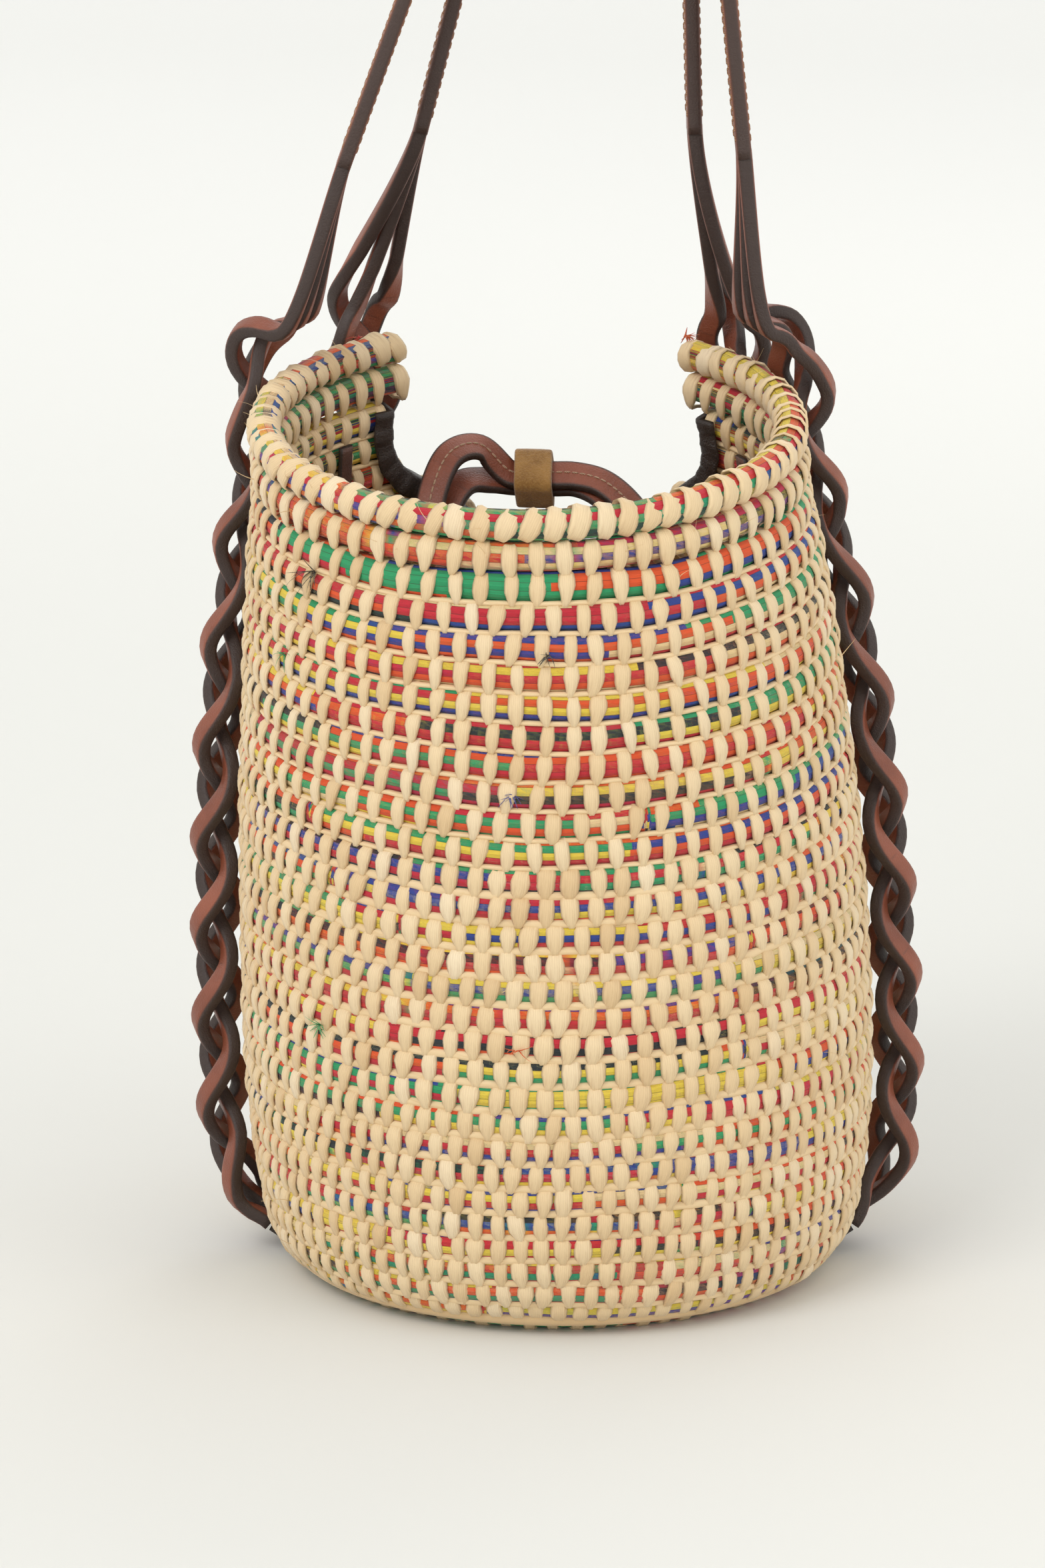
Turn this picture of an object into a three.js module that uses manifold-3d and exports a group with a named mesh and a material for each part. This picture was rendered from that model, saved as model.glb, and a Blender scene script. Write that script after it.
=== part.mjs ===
// A coil-sewn raffia bucket bag with plaited leather handles. Millimetres, +Z up.
// The bag stands on its base at z = 0. The notch and its closure face +Y.
import * as THREE from 'three';
import * as BufferGeometryUtils from 'three/addons/utils/BufferGeometryUtils.js';
import Module from 'manifold-3d';

const wasm = await Module();
wasm.setup();

// ---- driving dimensions ----
const clearance = 0.3;          // air between two pieces that touch
const grooveClearance = 0.7;    // air round the straps let into the base
const basketHeight = 290;       // floor to the top of the rim at the sides
const wallThickness = 9;        // one coil of the basket
const wallOuter = [             // [outer radius, height] from the base edge to the second coil
  [79, 0], [91, 5.5], [99.5, 19], [104.5, 52], [105.5, 95], [103, 160], [97, 228], [91.5, 268.4],
];
const baseRadius = 70;
const baseThickness = 8;
const rimCoilRadius = 5.5;
const secondCoilRadius = 5;
const coilCentreRadius = 86.5;

const lean = 12;                // how far the rim hangs to the left of the base
const rimRise = 17.5;           // the front of the rim is higher and the back lower than the sides
const rimSag = 0.5;             // extra sag in the middle of the front and back

const frontTurn = -4.3;         // the notch and front plaits sit a little to the right, degrees
const notchAngle = 40;          // half the notch in the wall, degrees
const coilEndAngle = 36.5;      // the two top coils end nearer the middle than the wall does
const notchCorner = 246;        // height where the notch turns into its V
const notchFloor = 205;         // height of the V's point
const bindingThickness = 1.8;
const bindingLip = 6;           // how far the leather covers the wall beside the notch
const lipClearance = 0.8;       // the flat lips lie against a curved wall

const backPlaitAngle = { top: 26, low: 7 };     // degrees from the side towards the front
const frontPlaitAngle = { top: 52, low: 52 };
const plaitStraight = 130;      // below this height a plait runs straight down the wall
const strandWidth = 6.8;
const strandThickness = 4.5;
const strapRise = 0.6;          // air under the straps that run below the base
const plaitPeriods = 3;
const plaitHalfWidth = 10.1;
const plaitHalfDepth = 5.4;
const plaitTop = 304;
const plaitEnd = { radius: 98.2, height: 9.8 };

const strapWidth = 22;          // a handle strap before it is slit, and the strap under the base
const handleThickness = 5;
const footLift = 7.5;           // from the middle of the strands to the fold
const handleTop = 602;
const handleTopRadius = 16;
const handleTopX = 24;
const handleFootRadius = 86;
const neckWidth = 7;            // only the middle strand reaches the fold at the rim
const neckHeight = 15;
const backHandleTopY = 41;
const frontHandleTopY = 64;

const tieWidth = 10;            // closure straps
const tieThickness = 2.8;
const tieTilt = THREE.MathUtils.degToRad(35);
const keeperLength = 13;
const keeperWall = 2.4;
const keeperX = -7;
const tieLine = { y: 86, z: 237 };

const degrees = THREE.MathUtils.degToRad;
const bag = new THREE.Group();

// ---- helpers ----

// Stands the straight, round basket as it really hangs: leaning, with its rim higher in front.
function hang(point) {
  const level = THREE.MathUtils.clamp(point.z / basketHeight, 0, 1);
  const front = THREE.MathUtils.clamp(point.y / coilCentreRadius, -1.2, 1.2);
  point.x += lean * (0.14 - level ** 1.7);
  point.z += level * (rimRise * front - rimSag * front * front);
  return point;
}

function hangGeometry(geometry) {
  const position = geometry.getAttribute('position');
  const point = new THREE.Vector3();
  for (let i = 0; i < position.count; i += 1) {
    hang(point.fromBufferAttribute(position, i));
    position.setXYZ(i, point.x, point.y, point.z);
  }
  return geometry;
}

// A path whose section keeps facing the way that facing(point) says.
class FacingPath extends THREE.Curve {
  constructor(curve, facing) {
    super();
    this.curve = curve;
    this.facing = facing;
    this.arcLengthDivisions = 400;
  }

  getPoint(t, target = new THREE.Vector3()) {
    return this.curve.getPoint(t, target);
  }

  computeFrenetFrames(steps) {
    const frames = { tangents: [], normals: [], binormals: [] };
    for (let i = 0; i <= steps; i += 1) {
      const tangent = this.getTangentAt(i / steps);
      const normal = this.facing(this.getPointAt(i / steps)).clone();
      normal.addScaledVector(tangent, -normal.dot(tangent)).normalize();
      frames.tangents.push(tangent);
      frames.normals.push(normal);
      frames.binormals.push(new THREE.Vector3().crossVectors(tangent, normal));
    }
    return frames;
  }
}

function sweep(shape, curve, facing, steps) {
  const extrudePath = new FacingPath(curve, facing);
  return new THREE.ExtrudeGeometry(shape, { steps, curveSegments: 4, extrudePath });
}

// A rectangle: x is along the facing direction, y is across it.
function rectangle(left, right, halfWidth) {
  const shape = new THREE.Shape();
  shape.moveTo(left, -halfWidth);
  shape.lineTo(right, -halfWidth);
  shape.lineTo(right, halfWidth);
  shape.lineTo(left, halfWidth);
  shape.closePath();
  return shape;
}

function strapSection(thickness, width) {
  return rectangle(-thickness / 2, thickness / 2, width / 2);
}

function spline(points) {
  return new THREE.CatmullRomCurve3(points, false, 'centripetal');
}

function radial(point) {
  return new THREE.Vector3(point.x, point.y, 0).normalize();
}

// An arc round the basket's axis, from one angle down to another.
class RingPath extends THREE.Curve {
  constructor(radius, height, fromAngle, toAngle) {
    super();
    Object.assign(this, { radius, height, fromAngle, toAngle });
  }

  getPoint(t, target = new THREE.Vector3()) {
    const angle = THREE.MathUtils.lerp(this.fromAngle, this.toAngle, t);
    return target.set(this.radius * Math.cos(angle), this.radius * Math.sin(angle), this.height);
  }
}

const wallCurve = new THREE.SplineCurve(wallOuter.map(([r, z]) => new THREE.Vector2(r, z)));
const wallProfile = wallCurve.getPoints(11);

// Outer radius of the wall at a height, on the same facets as the wall itself.
function wallRadius(height) {
  const last = wallProfile.length - 1;
  let i = 1;
  while (i < last && wallProfile[i].y < height) i += 1;
  const [low, high] = [wallProfile[i - 1], wallProfile[i]];
  const share = (height - low.y) / (high.y - low.y);
  return THREE.MathUtils.lerp(low.x, high.x, THREE.MathUtils.clamp(share, 0, 1));
}

function toSolid(geometry) {
  const bare = geometry.clone();
  bare.deleteAttribute('normal');
  bare.deleteAttribute('uv');
  const merged = BufferGeometryUtils.mergeVertices(bare, 1e-4);
  return new wasm.Manifold(new wasm.Mesh({
    numProp: 3,
    vertProperties: new Float32Array(merged.getAttribute('position').array),
    triVerts: new Uint32Array(merged.index.array),
  }));
}

function toGeometry(solid) {
  const mesh = solid.getMesh();
  const geometry = new THREE.BufferGeometry();
  geometry.setAttribute('position', new THREE.BufferAttribute(mesh.vertProperties, 3));
  geometry.setIndex(new THREE.BufferAttribute(mesh.triVerts, 1));
  geometry.computeVertexNormals();
  return geometry;
}

const raffia = { color: 0xe3c9a0, roughness: 0.85, metalness: 0 };
const leather = { color: 0x7a3f2a, roughness: 0.5, metalness: 0 };
const darkLeather = { color: 0x3f322d, roughness: 0.5, metalness: 0 };
const suede = { color: 0x8c6230, roughness: 0.95, metalness: 0 };

function add(name, geometry, finish) {
  const mesh = new THREE.Mesh(geometry, new THREE.MeshStandardMaterial(finish));
  mesh.name = name;
  bag.add(mesh);
  return mesh;
}

// ---- straps under the base, one for each pair of plaits ----

// Faces outwards on the wall and turns to face down where the strap runs under the base.
function cradleFacing(point) {
  const turn = THREE.MathUtils.clamp((point.z - 2) / 18, 0, 1) * Math.PI / 2;
  return radial(point).multiplyScalar(Math.sin(turn)).setZ(-Math.cos(turn));
}

// The right half runs from a plait's end to the middle; the left half mirrors it, then all of it
// turns with the front.
function cradleCurve(angle, underY, turn) {
  const direction = new THREE.Vector2(Math.cos(degrees(angle)), Math.sin(degrees(angle)));
  const half = strandThickness / 2;
  const top = direction.clone().multiplyScalar(plaitEnd.radius - 0.7);
  const bend = direction.clone().multiplyScalar(90);
  const inner = direction.clone().multiplyScalar(80);
  const right = [
    new THREE.Vector3(top.x, top.y, plaitEnd.height - 0.8),
    new THREE.Vector3(bend.x, bend.y, 4.6),
    new THREE.Vector3(inner.x, (inner.y + underY) / 2, half + strapRise),
    new THREE.Vector3(inner.x - 16, underY, half + strapRise),
  ];
  const left = right.map((p) => new THREE.Vector3(-p.x, p.y, p.z)).reverse();
  const points = [...right, new THREE.Vector3(0, underY, half + strapRise), ...left];
  return spline(points.map((p) => p.applyAxisAngle(new THREE.Vector3(0, 0, 1), turn)));
}

const cradles = [
  { name: 'back_under_strap', curve: cradleCurve(backPlaitAngle.low, 12, 0) },
  { name: 'front_under_strap', curve: cradleCurve(frontPlaitAngle.low, 56, degrees(frontTurn)) },
];
const cradleCutters = [];
for (const { name, curve } of cradles) {
  const section = strapSection(strandThickness, strapWidth);
  const strap = sweep(section, curve, cradleFacing, 44);
  add(name, hangGeometry(strap), darkLeather);
  const groove = strandThickness / 2 + grooveClearance;
  const around = rectangle(-groove, groove + 3, strapWidth / 2 + grooveClearance);
  cradleCutters.push(toSolid(sweep(around, curve, cradleFacing, 44)));
}

// ---- the basket ----

// The notch's outline on the unrolled wall: arc length across, height up.
const unrolledRadius = 90;
const notchHalf = degrees(notchAngle) * unrolledRadius;

function notchOutline() {
  const side = notchHalf;
  const floor = notchFloor + 6.5;
  const outline = new THREE.Path();
  outline.moveTo(-side, basketHeight);
  outline.lineTo(-side - 1, notchCorner + 12);
  outline.quadraticCurveTo(-side - 1, notchCorner, -side + 12, notchCorner - 7);
  outline.lineTo(-12, floor);
  outline.quadraticCurveTo(0, notchFloor, 12, floor);
  outline.lineTo(side - 12, notchCorner - 7);
  outline.quadraticCurveTo(side + 1, notchCorner, side + 1, notchCorner + 12);
  outline.lineTo(side, basketHeight);
  return outline.getSpacedPoints(48);
}

function wrapAngle(across) {
  return Math.PI / 2 + degrees(frontTurn) - across / unrolledRadius;
}

// Bends an unrolled slab round the basket: -x is the arc length, y the height, z the radius.
function wrapSlab(geometry) {
  const position = geometry.getAttribute('position');
  for (let i = 0; i < position.count; i += 1) {
    const angle = wrapAngle(-position.getX(i));
    const radius = position.getZ(i);
    position.setXYZ(i, radius * Math.cos(angle), radius * Math.sin(angle), position.getY(i));
  }
  return geometry;
}

function notchCutter() {
  const shape = new THREE.Shape(notchOutline());
  const slab = new THREE.ExtrudeGeometry(shape, { depth: 75, steps: 1, bevelEnabled: false });
  slab.translate(0, 0, 60);
  return toSolid(wrapSlab(slab));
}

// ---- the leather binding round the notch ----

// A channel that straddles the wall's cut edge. grow makes its leather thicker all round.
function bindingSweep(grow) {
  const inner = wallThickness / 2 + lipClearance - grow;
  const outer = wallThickness / 2 + lipClearance + bindingThickness + grow;
  const web = -clearance - bindingThickness - grow;
  const floor = -clearance + grow;
  const lip = bindingLip + grow;
  const section = new THREE.Shape();
  section.moveTo(-outer, web);
  section.lineTo(outer, web);
  section.lineTo(outer, lip);
  section.lineTo(inner, lip);
  section.lineTo(inner, floor);
  section.lineTo(-inner, floor);
  section.lineTo(-inner, lip);
  section.lineTo(-outer, lip);
  section.closePath();
  const top = wallOuter.at(-1)[1] - 1;
  const points = notchOutline().filter((p) => p.y < top).reverse().map((p) => {
    const radius = wallRadius(p.y) - wallThickness / 2;
    const angle = wrapAngle(p.x);
    return new THREE.Vector3(radius * Math.cos(angle), radius * Math.sin(angle), p.y);
  });
  return sweep(section, spline(points), radial, 44);
}

// ---- the basket's wall and base ----

function basketWall() {
  const outer = wallProfile.map((p) => new THREE.Vector2(p.x, p.y));
  const inner = [
    new THREE.Vector2(baseRadius + clearance, 0),
    new THREE.Vector2(baseRadius + clearance, baseThickness),
    new THREE.Vector2(84, 12.5),
  ];
  for (const p of wallProfile) {
    if (p.y > 22) inner.push(new THREE.Vector2(p.x - wallThickness, p.y));
  }
  const profile = [...outer, ...inner.reverse(), outer[0].clone()];
  let wall = toSolid(new THREE.LatheGeometry(profile, 64).rotateX(Math.PI / 2));
  if (wall.volume() < 0) throw new Error('the wall is inside out');
  wall = wall.subtract(notchCutter());
  wall = wall.subtract(toSolid(bindingSweep(clearance)));
  for (const cutter of cradleCutters) wall = wall.subtract(cutter);
  return toGeometry(wall);
}

function basketBase() {
  const profile = [
    new THREE.Vector2(0, 0),
    new THREE.Vector2(baseRadius, 0),
    new THREE.Vector2(baseRadius, baseThickness),
    new THREE.Vector2(0, baseThickness),
  ];
  let base = toSolid(new THREE.LatheGeometry(profile, 48).rotateX(Math.PI / 2));
  for (const cutter of cradleCutters) base = base.subtract(cutter);
  return toGeometry(base);
}

add('basket_base', hangGeometry(basketBase()), raffia);
add('basket_wall', hangGeometry(basketWall()), raffia);
add('notch_binding', hangGeometry(bindingSweep(0)), darkLeather);

function topCoil(coilRadius, height) {
  const section = new THREE.Shape();
  section.absarc(0, 0, coilRadius, 0, 2 * Math.PI);
  const round = new THREE.Shape(section.getSpacedPoints(10).slice(0, 10));
  const from = degrees(90 + frontTurn - coilEndAngle);
  const to = degrees(90 + frontTurn + coilEndAngle - 360);
  const path = new RingPath(coilCentreRadius, height, from, to);
  return hangGeometry(sweep(round, path, radial, 60));
}

const rimHeight = basketHeight - rimCoilRadius;
const secondHeight = rimHeight - rimCoilRadius - clearance - secondCoilRadius;
add('rim_coil', topCoil(rimCoilRadius, rimHeight), raffia);
add('second_coil', topCoil(secondCoilRadius, secondHeight), raffia);

// ---- plaits ----

// The middle line of a plait as [radius, height], over the rim and down outside the wall.
const proud = plaitHalfDepth + strandThickness / 2 + 0.9;
function plaitLine(overBinding) {
  const profile = [
    [handleFootRadius, plaitTop], [95, 301.5], [101 + overBinding, 294],
    [102.6 + overBinding, 282], [101 + overBinding, 266], [97 + proud + overBinding, 228],
    [103 + proud, 160], [106.5 + proud, 95], [106.5 + proud, 55],
    [113.5, 36], [107.5, 20], [plaitEnd.radius, plaitEnd.height],
  ];
  return spline(profile.map(([r, z]) => new THREE.Vector3(r, 0, z)));
}

// Share of the plaiting done at t. It starts and stops gently, so the strand ends lie straight.
function plaited(t) {
  const run = 0.1;
  if (t < run) return t * t / (2 * run * (1 - run));
  if (t > 1 - run) return 1 - plaited(1 - t);
  return (t - run / 2) / (1 - run);
}

// One strand of a plait. Each strand crosses from side to side and over and under the others.
class StrandCurve extends THREE.Curve {
  constructor({ side, angle, turn, overBinding }, index) {
    super();
    this.turn = turn;
    this.side = side;
    this.angle = angle;
    this.index = index;
    this.line = plaitLine(overBinding);
  }

  angleAt(height) {
    const share = THREE.MathUtils.smootherstep(height, plaitStraight, plaitTop);
    const angle = degrees(THREE.MathUtils.lerp(this.angle.low, this.angle.top, share));
    return this.turn + (this.side > 0 ? angle : Math.PI - angle);
  }

  getPoint(t, target = new THREE.Vector3()) {
    const turn = 2 * Math.PI * (plaitPeriods * plaited(t) + this.index / 3);
    const middle = this.line.getPointAt(t);
    const along = this.line.getTangentAt(t);
    const fade = THREE.MathUtils.smoothstep(Math.min(t, 1 - t), 0, 0.05);
    const sideways = plaitHalfWidth * Math.sin(turn);
    const outwards = -plaitHalfDepth * Math.sin(2 * turn) * fade;
    const radius = middle.x - along.z * outwards;
    const height = middle.z + along.x * outwards;
    const cos = Math.cos(this.angleAt(middle.z));
    const sin = Math.sin(this.angleAt(middle.z));
    return target.set(radius * cos - sideways * sin, radius * sin + sideways * cos, height);
  }

  // The outward normal of the plait's middle line nearest to a height.
  facing() {
    return (point) => {
      const over = THREE.MathUtils.clamp((point.z - 285) / 19, 0, 1);
      const under = THREE.MathUtils.clamp((40 - point.z) / 30, 0, 1);
      const angle = this.angleAt(point.z);
      const out = new THREE.Vector3(Math.cos(angle), Math.sin(angle), 0);
      return out.setZ(1.4 * over - 1.3 * under).normalize();
    };
  }
}

const bindingProud = lipClearance + bindingThickness;
const backPair = { angle: backPlaitAngle, turn: 0, overBinding: 0 };
const frontPair = { angle: frontPlaitAngle, turn: degrees(frontTurn), overBinding: bindingProud };
const plaits = [
  { name: 'back_right', side: 1, ...backPair },
  { name: 'back_left', side: -1, ...backPair },
  { name: 'front_right', side: 1, ...frontPair },
  { name: 'front_left', side: -1, ...frontPair },
];
for (const plait of plaits) {
  for (let index = 0; index < 3; index += 1) {
    const strand = new StrandCurve(plait, index);
    const section = strapSection(strandThickness, strandWidth);
    const geometry = sweep(section, strand, strand.facing(), 42);
    add(`${plait.name}_strand_${index + 1}`, hangGeometry(geometry), leather);
  }
}

// ---- handles ----

// A pointed arch from foot to foot. Its feet stand on the tops of two plaits.
function handleArch(plaitAngle, turn, topY) {
  const foot = (angle) => hang(new THREE.Vector3(
    handleFootRadius * Math.cos(angle),
    handleFootRadius * Math.sin(angle),
    plaitTop,
  )).add(new THREE.Vector3(0, 0, footLift));
  const right = foot(turn + degrees(plaitAngle));
  const left = foot(turn + Math.PI - degrees(plaitAngle));
  const crownHeight = handleTop - handleThickness / 2;
  const shoulder = (side) => new THREE.Vector3(
    handleTopX + side * handleTopRadius, topY, crownHeight - 1.3 * handleTopRadius,
  );
  const leg = (from, to, shares) => shares.map((share) => from.clone().lerp(to, share));
  const shares = [0, 0.25, 0.5, 0.75, 0.93];
  const points = [
    ...leg(left, shoulder(-1), shares), shoulder(-1),
    new THREE.Vector3(handleTopX - 8, topY, crownHeight - 4),
    new THREE.Vector3(handleTopX, topY, crownHeight),
    new THREE.Vector3(handleTopX + 8, topY, crownHeight - 4),
    shoulder(1), ...leg(right, shoulder(1), shares).reverse(),
  ];
  const outwards = (point) => new THREE.Vector3(point.x - handleTopX, 0, (point.z - 560) * 0.6);
  const section = strapSection(handleThickness, strapWidth);
  const arch = sweep(section, spline(points), outwards, 64);
  return toGeometry(toSolid(arch).subtract(besideNeck(left)).subtract(besideNeck(right)));
}

// Room on both sides of a foot, so that the strap clears the strands when the handle swings.
function besideNeck(foot) {
  const depth = 2 * strapWidth;
  const block = new THREE.BoxGeometry(30, depth, 2 * neckHeight);
  const near = block.clone().translate(foot.x, foot.y - (neckWidth + depth) / 2, foot.z);
  const far = block.clone().translate(foot.x, foot.y + (neckWidth + depth) / 2, foot.z);
  return toSolid(near).add(toSolid(far));
}

add('back_handle', handleArch(backPlaitAngle.top, 0, backHandleTopY), leather);
const frontArch = handleArch(frontPlaitAngle.top, degrees(frontTurn), frontHandleTopY);
add('front_handle', frontArch, leather);

// ---- the closure across the notch ----

const tieNormal = new THREE.Vector3(0, -Math.sin(tieTilt), Math.cos(tieTilt));

function tieFacing() {
  return tieNormal;
}

function tie(points, offset) {
  const places = points.map(([x, y, z]) => new THREE.Vector3(x, y, z)
    .addScaledVector(tieNormal, offset));
  const strap = sweep(strapSection(tieThickness, tieWidth), spline(places), tieFacing, 30);
  return hangGeometry(strap.rotateZ(degrees(frontTurn)));
}

const tieStack = tieThickness / 2 + 0.45;
const { y: tieY, z: tieZ } = tieLine;
const tieRun = [[-15, tieY, tieZ], [-7, tieY, tieZ], [0, tieY, tieZ], [7, tieY, tieZ]];
add('upper_closure_strap', tie([
  [-42, 58, 224], [-40, 65, 237], [-34, 75, 246.5], [-25, 83, 246.5], ...tieRun,
  [17, 82, 236], [27, 74, 230.5], [35, 62, 221],
], tieStack), leather);
add('lower_closure_strap', tie([
  [-41, 58, 215], [-38.5, 64, 228.5], [-31, 74, 239.5], [-23, 82, 238.5], ...tieRun,
  [16, 81, 235], [25, 72, 228], [33, 61, 215],
], -tieStack), leather);

function keeper() {
  const width = tieWidth / 2 + 0.8;
  const height = tieStack + tieThickness / 2 + 0.8;
  const ring = (grow) => {
    const [w, h, r] = [width + grow, height + grow, 1 + grow];
    const outline = new THREE.Path();
    outline.moveTo(-w + r, -h);
    outline.lineTo(w - r, -h);
    outline.quadraticCurveTo(w, -h, w, -h + r);
    outline.lineTo(w, h - r);
    outline.quadraticCurveTo(w, h, w - r, h);
    outline.lineTo(-w + r, h);
    outline.quadraticCurveTo(-w, h, -w, h - r);
    outline.lineTo(-w, -h + r);
    outline.quadraticCurveTo(-w, -h, -w + r, -h);
    return outline.getPoints(3).slice(0, -1);
  };
  const shape = new THREE.Shape(ring(keeperWall));
  shape.holes.push(new THREE.Path(ring(0)));
  const loop = new THREE.ExtrudeGeometry(shape, { depth: keeperLength, bevelEnabled: false });
  const across = new THREE.Vector3(0, Math.cos(tieTilt), Math.sin(tieTilt));
  const along = new THREE.Vector3(1, 0, 0);
  const turn = new THREE.Matrix4().makeBasis(across, tieNormal, along);
  loop.applyMatrix4(turn);
  loop.translate(keeperX - keeperLength / 2, tieY, tieZ);
  return hangGeometry(loop.rotateZ(degrees(frontTurn)));
}

add('keeper_loop', keeper(), suede);

// Suede tabs inside the wall, under the V, where the closure straps are sewn.
function closureTab(side) {
  const thickness = 2.2;
  const section = rectangle(0, thickness, 12);
  const height = 207;
  const radius = wallRadius(height) - wallThickness - thickness - 2.4;
  const from = degrees(90 + frontTurn + (side > 0 ? -27 : 43));
  const path = new RingPath(radius, height, from, from - degrees(16));
  return hangGeometry(sweep(section, path, radial, 6));
}

add('closure_tab_right', closureTab(1), suede);
add('closure_tab_left', closureTab(-1), suede);

// Narrow leather strips inside the wall, sewn behind the front plaits.
function insideStrip(side) {
  const thickness = 1.8;
  const lowest = 205;
  const highest = 258;
  const angle = degrees(90 + frontTurn - side * 54);
  const points = [];
  for (let i = 0; i <= 4; i += 1) {
    const height = THREE.MathUtils.lerp(lowest, highest, i / 4);
    const radius = wallRadius(height) - wallThickness - thickness / 2 - 0.6;
    points.push(new THREE.Vector3(radius * Math.cos(angle), radius * Math.sin(angle), height));
  }
  return hangGeometry(sweep(strapSection(thickness, 6), spline(points), radial, 8));
}

add('inside_strip_right', insideStrip(1), darkLeather);
add('inside_strip_left', insideStrip(-1), darkLeather);

export default bag;
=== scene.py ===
# %% [markdown]
# # A coil-sewn raffia bucket bag
# This lesson dresses a fixed frame, made of plain solids, as a bag that somebody sewed: raffia
# coils wrapped row on row, four leather plaits that run over the rim and down to straps under the
# base, two long handles, and a leather closure across a notch. All lengths below are millimetres
# until a mesh is made, and metres after that. The frame says where everything is.

import math

import bpy
import numpy as np
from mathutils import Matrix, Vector


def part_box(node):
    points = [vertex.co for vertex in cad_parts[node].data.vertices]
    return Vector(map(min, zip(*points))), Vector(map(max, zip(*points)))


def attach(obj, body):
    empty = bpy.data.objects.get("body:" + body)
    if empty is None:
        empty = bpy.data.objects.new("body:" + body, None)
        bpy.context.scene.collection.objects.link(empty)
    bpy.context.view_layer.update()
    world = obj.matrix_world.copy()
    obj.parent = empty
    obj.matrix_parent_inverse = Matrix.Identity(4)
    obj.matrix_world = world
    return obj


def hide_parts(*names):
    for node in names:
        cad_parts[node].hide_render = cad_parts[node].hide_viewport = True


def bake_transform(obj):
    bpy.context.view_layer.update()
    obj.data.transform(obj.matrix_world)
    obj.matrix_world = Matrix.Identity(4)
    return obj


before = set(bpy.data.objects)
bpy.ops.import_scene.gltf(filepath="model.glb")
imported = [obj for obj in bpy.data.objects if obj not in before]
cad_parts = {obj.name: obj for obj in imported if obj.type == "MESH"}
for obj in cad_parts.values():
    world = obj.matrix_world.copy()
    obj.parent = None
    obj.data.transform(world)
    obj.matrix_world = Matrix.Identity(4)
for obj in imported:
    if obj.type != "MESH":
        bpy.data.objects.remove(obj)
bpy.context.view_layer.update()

# %% [markdown]
# ## The shape of the basket
# The basket is a round bucket that leans: its rim hangs a little to one side and is higher in
# front. The shape is worked out upright and round first, because rows and plaits are simple there,
# and then every point goes through `hang`, which leans it.

# %% The basket's own shape
BASKET_HEIGHT, COIL_CENTRE, LEAN, RIM_RISE, RIM_SAG = 290.0, 86.5, 12.0, 17.5, 0.5
WALL_OUTER = [(79, 0), (91, 5.5), (99.5, 19), (104.5, 52), (105.5, 95), (103, 160), (97, 228),
              (91.5, 268.4)]
FRONT_TURN = math.radians(-4.3)
rng = np.random.default_rng(17)


def hang(points):
    p = np.array(points, float)
    level = np.clip(p[..., 2] / BASKET_HEIGHT, 0, 1)
    front = np.clip(p[..., 1] / COIL_CENTRE, -1.2, 1.2)
    p[..., 0] += LEAN * (0.14 - level ** 1.7)
    p[..., 2] += level * (RIM_RISE * front - RIM_SAG * front * front)
    return p


base_low, base_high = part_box("basket_base")
SHIFT = np.array([(base_low.x + base_high.x) / 2 - 0.001667, (base_low.y + base_high.y) / 2,
                  base_low.z])
print("frame sits", SHIFT.round(5), "from the basket's own axis")


def unit(v):
    v = np.asarray(v, float)
    return v / np.maximum(np.linalg.norm(v, axis=-1, keepdims=True), 1e-9)


def uniform_spline(points, count):
    """A Catmull-Rom spline with evenly weighted points, as the wall's profile uses."""
    p = np.array(points, float)
    t = np.linspace(0, len(p) - 1, count)
    i = np.minimum(t.astype(int), len(p) - 2)
    w = (t - i)[:, None]
    p0, p1, p2, p3 = p[np.maximum(i - 1, 0)], p[i], p[i + 1], p[np.minimum(i + 2, len(p) - 1)]
    v0, v1 = (p2 - p0) / 2, (p3 - p1) / 2
    return ((2 * p1 - 2 * p2 + v0 + v1) * w ** 3 + (-3 * p1 + 3 * p2 - 2 * v0 - v1) * w ** 2
            + v0 * w + p1)


class Path:
    """A smooth line through points, that can be asked for places at shares of its length."""

    def __init__(self, points, smooth=True, per=24):
        p = np.array(points, float)
        if smooth:
            p = self.centripetal(p, per)
        self.dense = p
        step = np.linalg.norm(np.diff(p, axis=0), axis=1)
        self.length_at = np.concatenate([[0], np.cumsum(step)])
        self.length = self.length_at[-1]

    @staticmethod
    def centripetal(p, per):
        p = np.vstack([2 * p[0] - p[1], p, 2 * p[-1] - p[-2]])
        out = []
        for k in range(1, len(p) - 2):
            q = p[k - 1:k + 3]
            t = np.concatenate([[0], np.cumsum(np.maximum(
                np.linalg.norm(np.diff(q, axis=0), axis=1), 1e-6) ** 0.5)])
            u = np.linspace(t[1], t[2], per, endpoint=False)[:, None]
            a = [((t[j + 1] - u) * q[j] + (u - t[j]) * q[j + 1]) / (t[j + 1] - t[j])
                 for j in range(3)]
            b = [((t[j + 2] - u) * a[j] + (u - t[j]) * a[j + 1]) / (t[j + 2] - t[j])
                 for j in range(2)]
            out.append(((t[2] - u) * b[0] + (u - t[1]) * b[1]) / (t[2] - t[1]))
        return np.vstack([*out, p[-2][None]])

    def at(self, shares):
        where = np.asarray(shares, float) * self.length
        return np.stack([np.interp(where, self.length_at, self.dense[:, k])
                         for k in range(self.dense.shape[1])], axis=-1)

    def along(self, shares):
        shares = np.asarray(shares, float)
        e = 0.002
        return unit(self.at(np.clip(shares + e, 0, 1)) - self.at(np.clip(shares - e, 0, 1)))


PROFILE = Path(uniform_spline(WALL_OUTER, 400), smooth=False)
print("the wall's profile is", round(PROFILE.length, 1), "mm long")


def wall_radius(height):
    return np.interp(height, PROFILE.dense[:, 1], PROFILE.dense[:, 0])


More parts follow.
